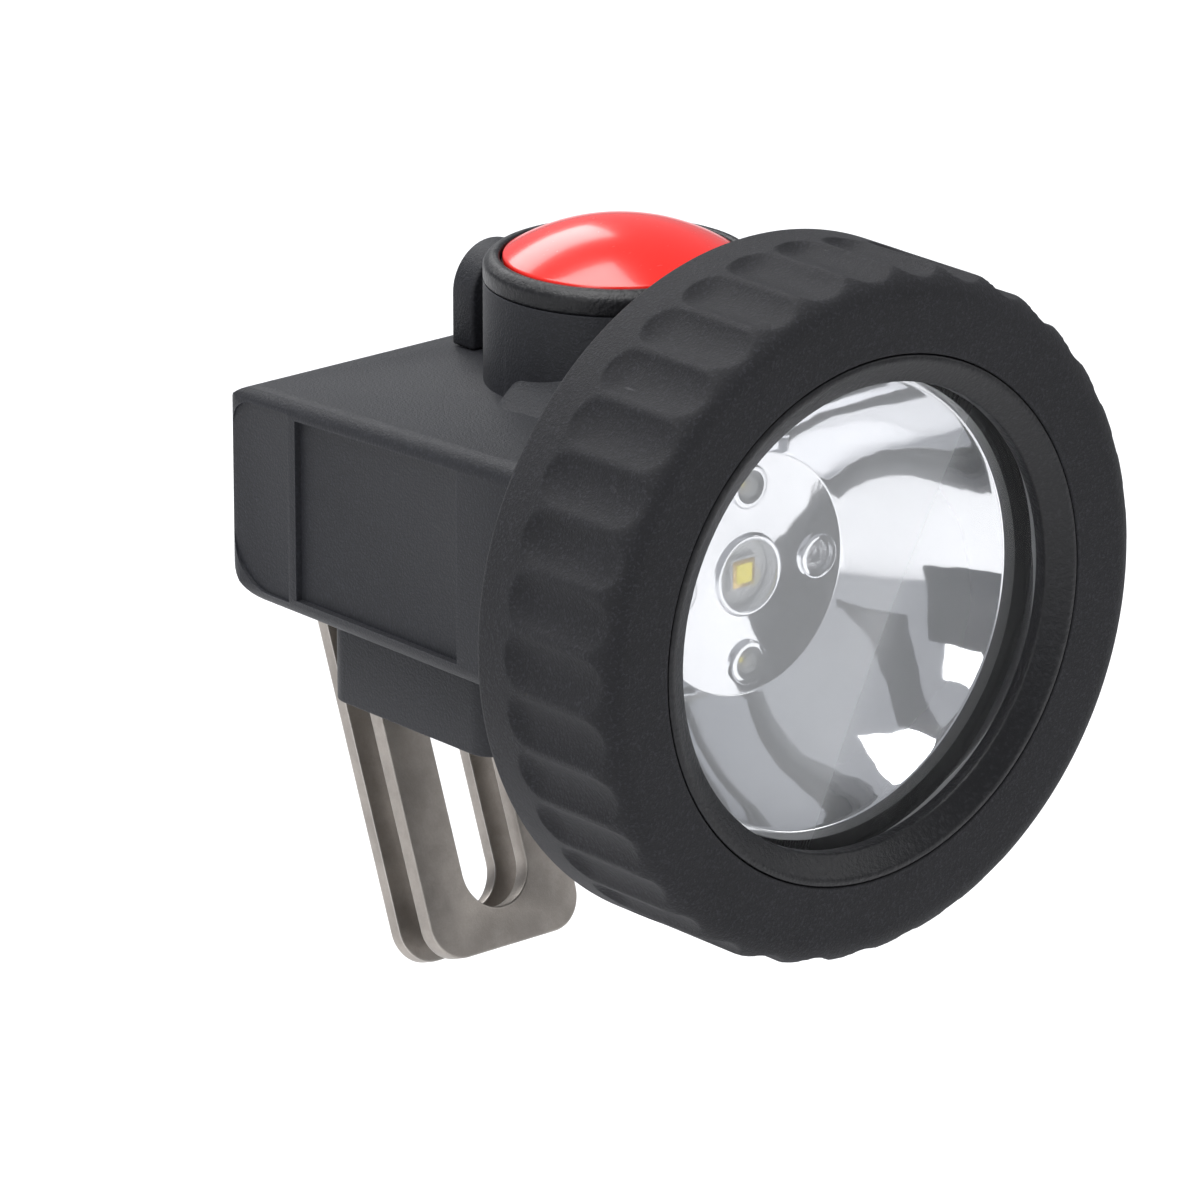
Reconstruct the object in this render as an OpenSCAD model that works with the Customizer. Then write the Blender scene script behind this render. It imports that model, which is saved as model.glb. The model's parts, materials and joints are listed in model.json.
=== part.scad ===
// Cordless miner's cap lamp. A round head in a fluted rubber bezel, a battery box behind it,
// a push button on a turret and a two-leaf steel clip that hooks over a helmet bracket.
// The beam points to -Y and +Z is up. The origin lies between the two leaves of the clip,
// at the middle of their slots. Every piece is first drawn from the centre of the bezel's
// front face, with Y running back along the beam axis, and then moved to that origin.

/* [Bezel] */
// Clear diameter in front of the lens
opening_d = 48.6; // [40:0.1:60]
// Width of the bezel's front face, from the opening to the outside
rim_width = 11.7; // [9.7:0.1:15]
// Depth of the bezel from front to back
bezel_depth = 19.4; // [18.8:0.1:24]
// Number of flutes around the grip
flute_count = 36; // [24:1:40]
// Depth of each flute
flute_depth = 0.9; // [0.4:0.1:1.1]
// Part of its pitch that each flute takes up
flute_fill = 0.9; // [0.7:0.01:0.95]
// Smooth band left behind the flutes
flange_w = 4.6; // [3.5:0.1:6]
// Radius of the grip's front edge
front_edge_r = 3; // [2:0.1:3.6]
// Width of the bevel around the opening
bevel_w = 2.4; // [1.5:0.1:3]
// Thickness of the lip that holds the lens
lip_t = 3; // [2.4:0.1:3.6]

/* [Lens and reflector] */
// Thickness of the lens
lens_t = 2.5; // [2:0.1:3]
// How far the lens reaches under the lip
lens_lap = 1.9; // [1.5:0.1:2.3]
// Depth of the mirror cup from its rim to its base
cup_depth = 12.8; // [10.6:0.1:15.4]
// Diameter of the flat base of the mirror cup
cup_base_d = 25.4; // [23:0.1:28]
// Hollow of the cup's side, measured from a straight cone
cup_hollow = 0.9; // [0.4:0.1:1.2]
// Wall of the mirror cup
cup_wall = 1.2; // [1:0.1:1.5]
// Diameter of the hole around the main LED
led_hole_d = 7.4; // [6:0.1:8.8]
// Distance of the small wells from the beam axis
well_pitch_r = 9.4; // [9:0.1:9.8]
// Diameter of the small wells
well_d = 3.5; // [2.9:0.1:3.8]
// Side of the square main LED
led_side = 3.5; // [2.9:0.1:4.2]

/* [Battery box] */
// Diameter of one cell
cell_d = 17; // [14.2:0.1:20.4]
// Length of one cell
cell_l = 50; // [41.7:0.1:60]
// Wall of the moulded housing
wall = 2; // [1.7:0.1:2.4]
// Height of the box's mid line above the beam axis
box_mid_z = 3.9; // [3:0.1:4.6]
// How much higher the box top is at the front than at the back
top_rise = 2; // [0:0.1:2.4]
// Corner radius at the top of the rear end
rear_top_r = 5; // [4:0.1:6]
// Corner radius at the bottom of the rear end
rear_bottom_r = 7.5; // [6.2:0.1:9]
// Radius of the long edges
long_edge_r = 2; // [1:0.1:2.4]
// Radius of the upright rear edges
upright_edge_r = 3; // [2:0.1:4]
// Border left around the side panels
panel_border = 1.5; // [1.2:0.1:2]
// Depth of the front side panel
panel_depth = 0.8; // [0.5:0.1:0.9]
// Depth of the rear side panel
rear_panel_depth = 0.4; // [0.3:0.1:0.5]
// Distance of the bar between the side panels from the rear end
panel_bar_back = 11.5; // [9.6:0.1:13.8]
// Outside radius of the round barrel behind the bezel
barrel_rear_r = 23.5; // [22.8:0.1:26]
// How far the barrel's hump runs back over the box
hump_back = 41; // [38:0.1:46]

/* [Base cover] */
// Height of the base block under the box
base_drop = 9.8; // [8.9:0.1:11.8]
// Inset of the base block from each side of the box
base_inset = 5; // [4.2:0.1:6]
// Inset of the base block from the rear end of the box
base_rear_inset = 10.5; // [8.8:0.1:12.6]
// Corner radius of the base block in plan
base_corner_r = 3; // [2.5:0.1:3.6]
// Thickness of the gasket over the base block
base_gasket_t = 0.8; // [0.6:0.1:1]

/* [Button] */
// Outside diameter of the turret
turret_d = 28; // [27.4:0.1:33]
// Distance of the turret's axis behind the bezel's front face
turret_back = 39.4; // [37:0.1:43]
// Height of the turret above the box top
turret_h = 12.9; // [12.3:0.1:15.4]
// Diameter of the button
button_d = 24; // [20:0.1:24.4]
// Height of the button's dome
button_dome = 3.5; // [2.9:0.1:4.2]
// Travel of the button
button_travel = 1.5; // [1.2:0.1:1.8]

/* [Lanyard eye] */
// Width of the eye
eye_w = 10; // [9.4:0.1:12]
// Thickness of the eye along the lamp
eye_t = 3.5; // [3:0.1:4.2]
// Height of the eye above the box top
eye_h = 10.6; // [9.8:0.1:12.7]
// Width of each leg of the eye
eye_leg = 2.2; // [1.8:0.1:2.4]
// Distance of the eye's middle from the rear end
eye_from_rear = 8.7; // [7.4:0.1:10]

/* [Clip] */
// Lean of the clip from upright, in degrees
clip_lean = 20.5; // [17:0.1:24.6]
// Width of the clip
clip_w = 20; // [18:0.1:24]
// Thickness of the front leaf
plate_t = 2; // [1.7:0.1:2.4]
// Thickness of the rear leaf
tongue_t = 1.6; // [1.4:0.1:2]
// Gap between the leaves, which takes the bracket
clip_gap = 3.6; // [3:0.1:4.3]
// Distance from the clip's screws down to its lower end
clip_drop = 57.5; // [48:0.1:69]
// Width of the slots
slot_w = 8.6; // [7.2:0.1:10.3]
// Length of the slots
slot_l = 29; // [24.2:0.1:34]
// Metal left below the front leaf's slot
slot_end = 4.2; // [3.5:0.1:5]
// Corner radius at the lower end of the leaves
clip_corner_r = 4; // [3.4:0.1:4.8]
// Distance of the clip's seat behind the box, at its screws
clip_standoff = 9.6; // [8:0.1:11.5]

/* [Hidden] */
$fn = 96;
eps = 0.01;

// Clearances
run_gap = 0.3;
fit_gap = 0.15;
bore_gap = 0.05;
touch_gap = 0.1;
holder_gap = 0.3;
edge_gap = 0.4;

// Stations along the beam axis, measured back from the bezel's front face
opening_r = opening_d / 2;
bezel_r = opening_r + rim_width;
lens_front = lip_t + run_gap;
lens_back = lens_front + lens_t;
lens_gasket_t = 1;
rim_front = lens_back + lens_gasket_t;
rim_t = 1.2;
rim_back = rim_front + rim_t;
cup_floor = rim_front + cup_depth;
cup_back = cup_floor + cup_wall;
board_front = cup_back + touch_gap;
board_t = 1.6;
sink_front = board_front + board_t;
sink_t = 4.4;
sink_back = sink_front + sink_t;
ledge_t = 1.4;
bulkhead_t = 1.2;
room_front = sink_back + ledge_t + bulkhead_t;

// Radii of the head
mouth_inset = 0.8;
ledge_reach = 1.8;
lens_r = opening_r + lens_lap;
sleeve_in_r = lens_r + fit_gap;
sleeve_wall = 2.8;
sleeve_r = sleeve_in_r + sleeve_wall;
ring_bore_r = sleeve_r + run_gap;
lug_reach = 1.3;
lug_r = sleeve_r + lug_reach;
groove_r = lug_r + run_gap;
ring_wall = 1.7;
ring_r = groove_r + ring_wall;
cup_mouth_r = opening_r - mouth_inset;
cup_space_r = cup_mouth_r + cup_wall + edge_gap;
sink_r = barrel_rear_r - wall - run_gap;
ledge_r = sink_r - ledge_reach;

// Bayonet that holds the bezel
lug_count = 3;
lug_angle = 36;
tab_angle = 46;
seal_room = 3;
lug_front = rim_back + seal_room;
lug_t = 2.5;
tab_front = lug_front + lug_t + run_gap;
tab_t = 2.4;
sleeve_flange_front = tab_front + tab_t + run_gap;
sleeve_end = bezel_depth - run_gap;

// Seal between the sleeve and the bezel
seal_wire_d = 1.8;
seal_inset = 0.6;
seal_y = rim_front + seal_inset;
seal_r = ring_bore_r - bore_gap - seal_wire_d / 2;

// Flutes: a cylinder of flute_cut_r cuts each one to its width and depth
ridge_angle = -4;
flute_pitch = 360 / flute_count;
flute_w = 2 * bezel_r * sin(flute_pitch / 2) * flute_fill;
flute_cut_r = (pow(flute_w / 2, 2) + pow(flute_depth, 2)) / (2 * flute_depth);
flute_end = bezel_depth - flange_w;

// Battery room and box
cell_count = 2;
cell_gap = 0.6;
cell_clear = 0.9;
tab_strip_t = 0.3;
holder_t = 2.3;
box_gap = 1.2;
box_w = cell_l + 2 * (tab_strip_t + touch_gap + holder_t + holder_gap + wall);
box_h = cell_d + 2 * (cell_clear + wall);
box_front = bezel_depth + box_gap;
room_back = room_front + cell_gap + cell_count * (cell_d + cell_gap);
box_rear = room_back + wall;
box_bottom = box_mid_z - box_h / 2;
box_top = box_mid_z + box_h / 2;
room_w = box_w - 2 * wall;
room_floor = box_bottom + wall;
room_top = box_top - wall;
rise_angle = atan(top_rise / (box_rear - box_front));

// Base block
base_front_inset = 1;
tray_wall = 2;
pillar_r = 2.9;
pillar_edge = 0.9;
hatch_rim = 1.6;
boss_rise = 0.8;
base_w = box_w - 2 * base_inset;
base_back = box_rear - base_rear_inset;
base_front = room_front + base_front_inset;
base_l = base_back - base_front;
base_mid = (base_front + base_back) / 2;
base_bottom = box_bottom - base_drop;
tray_top = box_bottom - base_gasket_t;
pillar_in = pillar_r + pillar_edge;
hatch_w = base_w - 4 * pillar_in;
hatch_l = base_l - 2 * (tray_wall + hatch_rim);
boss_top = room_floor + boss_rise;

// Small screws in the base, the clip block and the reflector
small_screw_r = 1.25;
small_head_r = 2.2;
small_head_t = 1.2;
clip_screw_r = 1.5;
clip_head_r = 2.8;
clip_head_t = clip_head_r - clip_screw_r;
clip_head_sink = 0.1;

// Control board inside the base
circuit_t = 1.6;
circuit_lift = 2.1;
circuit_edge = 2.3;
circuit_w = hatch_w;
circuit_l = base_l - 2 * (tray_wall + circuit_edge);
circuit_bottom = base_bottom + tray_wall + circuit_lift;
circuit_top = circuit_bottom + circuit_t;
contact_r = 2.5;
contact_pin_r = 1;
contact_x = 9;

// Wires
lead_r = 0.6;
lead_inset = 1.7;
lead_lift = 0.75;
lead_shaft_gap = 1.5;
lead_y = base_mid - hatch_l / 2 + lead_inset;
lead_floor = room_floor + lead_lift;
led_lead_x = 5;
switch_lead_x = 8.5;
lead_shaft_y = sink_back + lead_shaft_gap;

// Turret and button
turret_sink = 0.5;
turret_ledge = 0.65;
turret_r = turret_d / 2;
turret_top = box_top_at(turret_back) + turret_h;
button_r = button_d / 2;
collar_t = 2.6;
collar_in_r = button_r + run_gap;
turret_bore_r = collar_in_r + turret_ledge;
button_flange_r = turret_bore_r - run_gap;
collar_bottom = turret_top - collar_t;
turret_floor = box_top_at(turret_back) - turret_sink;
switch_board_gap = 1.2;
switch_board_r = turret_bore_r - switch_board_gap;
switch_board_t = 1.2;
rib_h = 1;
rib_inset = 0.6;
rib_w = 1.6;
switch_board_z = turret_floor + rib_h;
switch_board_top = switch_board_z + switch_board_t;
rib_out_r = switch_board_r - rib_inset;
rib_in_r = rib_out_r - rib_w;
switch_side = 6;
switch_h = 3;
plunger_h = 0.7;
plunger_r = 1.75;
stem_r = 2;
stem_bottom = switch_board_top + switch_h + plunger_h + button_travel + touch_gap;
flange_top = collar_bottom - run_gap;
button_flange_t = 1.8;
button_web_lift = 0.4;
button_wall = 2;
button_web = flange_top + button_web_lift;
button_hollow_r = button_r - button_wall;
dome_r = (pow(button_r, 2) + pow(button_dome, 2)) / (2 * button_dome);
spring_r = 7;
spring_wire_r = 0.4;
spring_turns = 4;
spring_sides = 8;
spring_steps = 20;
button_seal_d = 1.2;
button_seal_drop = 1.2;
button_seal_r = collar_in_r - bore_gap - button_seal_d / 2;
button_seal_z = turret_top - button_seal_drop;
switch_wire_in = 2.2;
switch_wire_y = turret_back - rib_in_r + switch_wire_in;
switch_wire_x = 3;

// Lanyard eye
eye_y = box_rear - eye_from_rear;
eye_base = box_top_at(eye_y) + touch_gap;
eye_tang_w = eye_w - 2 * eye_leg;
eye_tang_t = eye_t - 1;
eye_foot = 2.6;
eye_hole_bottom = eye_base + eye_foot;

// Clip: its own frame has Z up the leaves and Y to the rear, from the screws on the seat
seat_drop = 1;
seat_z = box_mid_z - seat_drop;
seat_y = box_rear + clip_standoff;
block_h = 10;
leaf_top = 4.2;
block_edge = 2;
block_w = clip_w + 2 * block_edge;
block_screw_z = 3.4;
clip_screw_x = 5.5;
block_floor = 3.4;
tongue_front = plate_t + clip_gap;
slot_bottom = slot_end - clip_drop;
slot_mid = slot_bottom + slot_l / 2;
clip_hole_depth = clip_standoff - block_floor;

// The clip's reference point, seen from the bezel's front face
grip_local_y = plate_t + clip_gap / 2;
origin_y = seat_y + grip_local_y * cos(clip_lean) + slot_mid * sin(clip_lean);
origin_z = seat_z - grip_local_y * sin(clip_lean) + slot_mid * cos(clip_lean);

// Height of the sloping box top at a distance behind the bezel's front face
function box_top_at(y) = box_top + top_rise * (box_rear - y) / (box_rear - box_front);

// Radius of the mirror at a share of its depth, from 0 at the rim to 1 at the base
function cup_r(share) =
    cup_mouth_r + (cup_base_d / 2 - cup_mouth_r) * share + cup_hollow * sin(180 * share);

// Moves a piece from the bezel's front face to the lamp's origin
module placed() {
    translate([0, -origin_y, -origin_z]) children();
}

// Turns a piece drawn along Z so that it runs back along the beam axis
module along_beam() {
    rotate([-90, 0, 0]) children();
}

// Turns a flat outline drawn as (Y, Z) into a slab of a width across the lamp
module across(width) {
    translate([-width / 2, 0, 0])
        rotate([90, 0, 90])
            linear_extrude(width) children();
}

// Puts a piece drawn in the clip's own frame in its place
module on_clip() {
    translate([0, seat_y, seat_z])
        rotate([-clip_lean, 0, 0]) children();
}

// A rod or wire between two points
module rod(from, to, r) {
    step = to - from;
    length = norm(step);
    translate(from)
        rotate([0, acos(step[2] / length), atan2(step[1], step[0])])
            cylinder(h = length, r = r, $fn = 24);
}

// A wire through a list of points, rounded at each bend
module wire(points, r) {
    for (i = [0:len(points) - 2])
        rod(points[i], points[i + 1], r);
    for (i = [1:len(points) - 2])
        translate(points[i]) sphere(r, $fn = 24);
}

// A rectangle with round corners, centred
module rounded_rect(w, l, r) {
    square([w - 2 * r, l], center = true);
    square([w, l - 2 * r], center = true);
    for (x = [-1, 1], y = [-1, 1])
        translate([x * (w / 2 - r), y * (l / 2 - r)]) circle(r);
}

// A slot with round ends, centred, standing along Y
module obround(w, l) {
    square([w, l - w], center = true);
    for (y = [-1, 1])
        translate([0, y * (l - w) / 2]) circle(w / 2);
}

// A ring between two stations along the beam axis
module beam_ring(outer_r, inner_r, front, back) {
    translate([0, front, 0]) along_beam()
        rotate_extrude()
            translate([inner_r, 0]) square([outer_r - inner_r, back - front]);
}

// A round plug between two stations along the beam axis
module beam_disc(r, front, back) {
    translate([0, front, 0]) along_beam() cylinder(h = back - front, r = r);
}

// The same sector repeated around the beam axis, centred on its first angle
module beam_sectors(outer_r, inner_r, front, back, angle, count) {
    for (i = [0:count - 1])
        translate([0, front, 0]) along_beam()
            rotate([0, 0, 360 / count * i - angle / 2])
                rotate_extrude(angle = angle)
                    translate([inner_r, 0]) square([outer_r - inner_r, back - front]);
}

// Side view of the box as (Y, Z), drawn in from its outline by an inset
module box_side(inset) {
    end = box_rear - inset;
    low = box_bottom + inset;
    top_r = rear_top_r - inset;
    bottom_r = rear_bottom_r - inset;
    top_y = end - top_r;
    top_z = box_top_at(top_y) - (inset + top_r) / cos(rise_angle);
    polygon([
        [box_front, low],
        [end - bottom_r, low],
        [end, low + bottom_r],
        [end, top_z],
        [top_y + top_r * sin(rise_angle), top_z + top_r * cos(rise_angle)],
        [box_front, box_top_at(box_front) - inset / cos(rise_angle)]
    ]);
    translate([top_y, top_z]) circle(top_r);
    translate([end - bottom_r, low + bottom_r]) circle(bottom_r);
}

// A long prism with round upper edges, whose top lies at z = 0
module round_topped_prism(length) {
    depth = 2 * box_h;
    rotate([-90, 0, 0])
        translate([0, depth / 2, 0])
            linear_extrude(length) rounded_rect(box_w, depth, long_edge_r);
}

// Outside of the battery box
module box_body() {
    length = box_rear - box_front;
    intersection() {
        across(box_w) box_side(0);
        translate([0, (box_front + box_rear) / 2 - box_w / 4, box_mid_z - box_h])
            linear_extrude(2 * box_h)
                rounded_rect(box_w, length + box_w / 2, upright_edge_r);
        translate([0, box_front, box_top + top_rise])
            rotate([-rise_angle, 0, 0])
                translate([0, -box_h, 0]) round_topped_prism(length + 2 * box_h);
        translate([0, box_front - box_h, box_bottom])
            mirror([0, 0, 1]) round_topped_prism(length + 2 * box_h);
    }
}

// Shallow panels in both sides of the box
module side_panels() {
    bar = 1.2;
    bar_y = box_rear - panel_bar_back;
    for (side = [-1, 1]) {
        translate([side * (box_w / 2), 0, 0])
            across(2 * rear_panel_depth)
                intersection() {
                    box_side(panel_border);
                    translate([bar_y + bar / 2, box_bottom]) square([box_h, 2 * box_h]);
                }
        translate([side * (box_w / 2), 0, 0])
            across(2 * panel_depth)
                intersection() {
                    box_side(panel_border + 0.5);
                    translate([room_front, box_bottom])
                        square([bar_y - bar / 2 - room_front, 2 * box_h]);
                }
    }
}

// Places of the screws in the base block's corners
module at_pillars() {
    for (x = [-1, 1], y = [-1, 1])
        translate([x * (base_w / 2 - pillar_in), base_mid + y * (base_l / 2 - pillar_in), 0])
            children();
}

// Places of the two screws that hold the clip block from inside
module at_block_screws() {
    for (z = [-1, 1])
        translate([0, 0, seat_z + z * block_screw_z]) children();
}

// Places of the two holes for the wires of the switch
module at_switch_wires() {
    for (x = [-1, 1])
        translate([x * switch_wire_x, switch_wire_y, 0]) children();
}

// Outer form of the moulded body
module housing_outside() {
    beam_disc(sleeve_r, lens_front, sleeve_end);
    beam_disc(lug_r, sleeve_flange_front, sleeve_end);
    beam_sectors(lug_r, sleeve_r - 1, lug_front, lug_front + lug_t, lug_angle, lug_count);
    beam_disc(barrel_rear_r, sleeve_end - 1, room_front);
    box_body();
    hump();
    translate([0, turret_back, room_top])
        cylinder(h = collar_bottom - room_top, r = turret_r);
}

// Upper half of the barrel, run back over the box with a round rear edge
module hump() {
    edge = 3;
    intersection() {
        translate([0, sleeve_end - 1, 0]) along_beam() rotate_extrude() {
            square([barrel_rear_r, hump_back - edge - sleeve_end + 1]);
            square([barrel_rear_r - edge, hump_back - sleeve_end + 1]);
            translate([barrel_rear_r - edge, hump_back - edge - sleeve_end + 1]) circle(edge);
        }
        translate([-box_w / 2, 0, room_top])
            cube([box_w, 2 * hump_back, 2 * barrel_rear_r]);
    }
}

// Spaces inside the moulded body
module housing_inside() {
    beam_disc(sleeve_in_r, 0, rim_back);
    beam_disc(cup_space_r, 0, sleeve_end - wall);
    beam_disc(sink_r + fit_gap, 0, sink_back);
    beam_disc(ledge_r, 0, sink_back + ledge_t);
    intersection() {
        beam_disc(ledge_r, 0, room_front + eps);
        translate([-room_w / 2, 0, room_floor])
            cube([room_w, room_back, room_top - room_floor]);
    }
    beam_ring(sleeve_r + 1, seal_r - seal_wire_d / 2, seal_y, seal_y + seal_wire_d);
    translate([-room_w / 2, room_front, room_floor])
        cube([room_w, room_back - room_front, room_top - room_floor]);
    translate([0, turret_back, turret_floor])
        cylinder(h = turret_h + wall, r = turret_bore_r);
}

// Holes through the moulded body's walls
module housing_holes() {
    at_switch_wires() translate([0, 0, room_top - 1])
        cylinder(h = turret_floor - room_top + 3, r = lead_r + touch_gap, $fn = 24);
    translate([-hatch_w / 2, base_mid - hatch_l / 2, box_bottom - 1])
        cube([hatch_w, hatch_l, wall + 2]);
    at_pillars() translate([0, 0, box_bottom - 1])
        cylinder(h = boss_top - box_bottom + 2, r = small_screw_r + bore_gap);
    at_block_screws() translate([0, room_back - 1, 0]) along_beam()
        cylinder(h = wall + 2, r = small_screw_r + bore_gap);
    at_block_screws() translate([0, room_back - 1, 0]) along_beam()
        cylinder(h = 2, r = small_head_r + touch_gap);
    translate([0, eye_y, room_top - 1])
        linear_extrude(box_h)
            square([eye_tang_w + 2 * touch_gap, eye_tang_t + 2 * touch_gap], center = true);
}

// Moulded body: sleeve and barrel around the light, battery box and button turret
module housing() {
    color("#1f2023")
    placed() difference() {
        union() {
            difference() {
                housing_outside();
                housing_inside();
            }
            at_pillars() translate([0, 0, box_bottom + 1])
                cylinder(h = boss_top - box_bottom - 1, r = pillar_r);
            translate([0, turret_back, turret_floor - 1])
                difference() {
                    cylinder(h = rib_h + 1, r = rib_out_r);
                    cylinder(h = 2 * turret_h, r = rib_in_r);
                }
        }
        housing_holes();
        side_panels();
    }
}

// Outline of the base block in plan
module base_plan(inset) {
    translate([0, base_mid])
        rounded_rect(base_w - 2 * inset, base_l - 2 * inset, base_corner_r - inset);
}

// Tray that closes the box from below and holds the control board
module base_cover() {
    rest = 1.6;
    color("#202123")
    placed() difference() {
        union() {
            difference() {
                translate([0, 0, base_bottom])
                    linear_extrude(tray_top - base_bottom) base_plan(0);
                translate([0, 0, base_bottom + tray_wall])
                    linear_extrude(box_h) base_plan(tray_wall);
            }
            at_pillars() translate([0, 0, base_bottom + 1])
                cylinder(h = tray_top - base_bottom - 1, r = pillar_r);
            for (x = [-1, 1])
                translate([x * (circuit_w / 2 - 3) - rest / 2, base_mid - circuit_l / 2, base_bottom + 1])
                    cube([rest, circuit_l, circuit_bottom - base_bottom - 1]);
        }
        at_pillars() translate([0, 0, base_bottom - 1])
            cylinder(h = base_drop + 2, r = small_screw_r + touch_gap);
        at_pillars() translate([0, 0, base_bottom - 1])
            cylinder(h = small_head_t + 1.6, r = small_head_r + touch_gap);
        for (x = [-1, 1])
            translate([x * contact_x, base_mid, base_bottom - 1]) {
                cylinder(h = 2, r = contact_r + bore_gap);
                cylinder(h = tray_wall + 2, r = contact_pin_r + bore_gap);
            }
    }
}

// Flat gasket between the base block and the box
module base_gasket() {
    color("#3a3a3c")
    placed() translate([0, 0, tray_top])
        linear_extrude(base_gasket_t)
            difference() {
                base_plan(0.5);
                translate([0, base_mid]) square([hatch_w, hatch_l], center = true);
                at_pillars() circle(small_screw_r + touch_gap);
            }
}

// Four screws up through the base block
module cover_screws() {
    head_z = base_bottom + 0.6;
    socket = 0.7;
    color("#a8abad")
    placed() at_pillars() difference() {
        union() {
            translate([0, 0, head_z]) cylinder(h = small_head_t, r = small_head_r);
            translate([0, 0, head_z]) cylinder(h = boss_top - head_z, r = small_screw_r);
        }
        translate([0, 0, head_z - eps]) cylinder(h = socket, r = 1.2, $fn = 6);
    }
}

// Fluted rubber sleeve around the bezel
module bezel_grip() {
    inner = ring_r;
    front_in_r = opening_r + bevel_w + 0.8;
    color("#242427")
    placed() intersection() {
        along_beam() rotate_extrude() difference() {
            union() {
                translate([front_in_r, 0])
                    square([bezel_r - front_edge_r - front_in_r, bezel_depth]);
                translate([front_in_r, front_edge_r])
                    square([bezel_r - front_in_r, bezel_depth - front_edge_r]);
                translate([bezel_r - front_edge_r, front_edge_r]) circle(front_edge_r);
            }
            translate([0, 1.2]) square([inner, bezel_depth]);
        }
        union() {
            translate([0, -1, 0]) along_beam() linear_extrude(flute_end + 1) difference() {
                circle(bezel_r + 1);
                for (i = [0:flute_count - 1])
                    rotate(ridge_angle + (i + 0.5) * flute_pitch)
                        translate([bezel_r + flute_cut_r - flute_depth, 0]) circle(flute_cut_r);
            }
            beam_disc(bezel_r + 1, flute_end, bezel_depth);
        }
    }
}

// Hard ring inside the grip: lip, bevel and bayonet tabs
module bezel_ring() {
    color("#2c2d30")
    placed() union() {
        along_beam() rotate_extrude() {
            polygon([
                [opening_r + bevel_w, 0],
                [opening_r + bevel_w + 0.7, 0],
                [opening_r + bevel_w + 0.7, 1.3],
                [ring_r - touch_gap, 1.3],
                [ring_r - touch_gap, bezel_depth],
                [groove_r, bezel_depth],
                [groove_r, lug_front - run_gap],
                [ring_bore_r, lug_front - run_gap],
                [ring_bore_r, lip_t],
                [opening_r, lip_t],
                [opening_r, bevel_w * 0.6]
            ]);
        }
        beam_sectors(groove_r + 0.5, ring_bore_r, tab_front, tab_front + tab_t, tab_angle, lug_count);
    }
}

// Round seal in the sleeve's groove, which the bezel turns on
module bezel_seal() {
    color("#111111")
    placed() translate([0, seal_y + seal_wire_d / 2, 0]) along_beam()
        rotate_extrude() translate([seal_r, 0]) circle(seal_wire_d / 2, $fn = 32);
}

// Clear front lens
module lens() {
    color([0.85, 0.92, 0.96, 0.35])
    placed() beam_disc(lens_r, lens_front, lens_back);
}

// Gasket between the lens and the mirror's rim
module lens_gasket() {
    color("#1a1a1a")
    placed() beam_ring(lens_r, cup_mouth_r + 0.6, lens_back, rim_front);
}

// Mirror cup: hollow cone with a flat base, a raised ring and four wells
module reflector() {
    steps = 12;
    side = [for (i = [0:steps]) [cup_r(i / steps), rim_front + cup_depth * i / steps]];
    back = [for (i = [steps:-1:0])
        [cup_r(i / steps) + cup_wall, rim_front + cup_depth * i / steps]];
    ring_h = 0.5;
    ring_w = 0.6;
    color("#d8dcdf")
    placed() difference() {
        union() {
            along_beam() rotate_extrude() {
                polygon(concat(side, back));
                translate([0, cup_floor]) square([cup_base_d / 2 + cup_wall, cup_wall]);
                translate([cup_mouth_r, rim_front]) square([lens_r - cup_mouth_r, rim_t]);
                translate([0, cup_floor - ring_h]) square([led_hole_d / 2 + ring_w, ring_h + 1]);
            }
            at_wells([0, 90, 180, 270])
                beam_disc(well_d / 2 + ring_w, cup_floor - ring_h, cup_floor + 1);
        }
        beam_disc(led_hole_d / 2, cup_floor - 2, cup_back + 1);
        at_wells([0, 90, 180, 270]) beam_disc(well_d / 2, cup_floor - 2, cup_back + 1);
    }
}

// Places of the small wells around the main LED, at a list of angles
module at_wells(angles) {
    for (angle = angles)
        rotate([0, angle, 0]) translate([well_pitch_r, 0, 0]) children();
}

// Two screws that hold the mirror cup down to the heat sink
module reflector_screws() {
    color("#8c8f92")
    placed() at_wells([0, 180]) difference() {
        union() {
            beam_disc(well_d / 2 - touch_gap, cup_floor + 0.2, board_front);
            beam_disc(1, cup_floor + 0.2, sink_front + 3);
        }
        translate([0, cup_floor, 0]) along_beam() cylinder(h = 0.7, r = 0.8, $fn = 6);
    }
}

// Main LED: square package with a domed lens, on the LED board
module main_led() {
    package_t = 1.4;
    dome = led_side * 0.4;
    color("#f2e34d")
    placed() {
        translate([-led_side / 2, board_front - package_t, -led_side / 2])
            cube([led_side, package_t, led_side]);
        translate([0, board_front - package_t, 0]) intersection() {
            sphere(dome, $fn = 48);
            translate([-dome, -dome, -dome]) cube([2 * dome, dome, 2 * dome]);
        }
    }
}

// Two small round LEDs in the upper and lower wells
module aux_leds() {
    bulb_r = well_d / 2 - edge_gap;
    shoulder = cup_floor + edge_gap;
    color("#e9ecd8")
    placed() at_wells([90, 270]) {
        beam_disc(bulb_r, shoulder, board_front);
        intersection() {
            translate([0, shoulder, 0]) sphere(bulb_r, $fn = 32);
            beam_disc(2 * bulb_r, shoulder - 2 * bulb_r, shoulder);
        }
    }
}

// Round metal-core board behind the mirror cup
module led_board() {
    color("#e8e8e2")
    placed() difference() {
        beam_disc(cup_base_d / 2, board_front, sink_front);
        at_wells([0, 180]) beam_disc(1 + bore_gap, 0, sink_back);
    }
}

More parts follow.
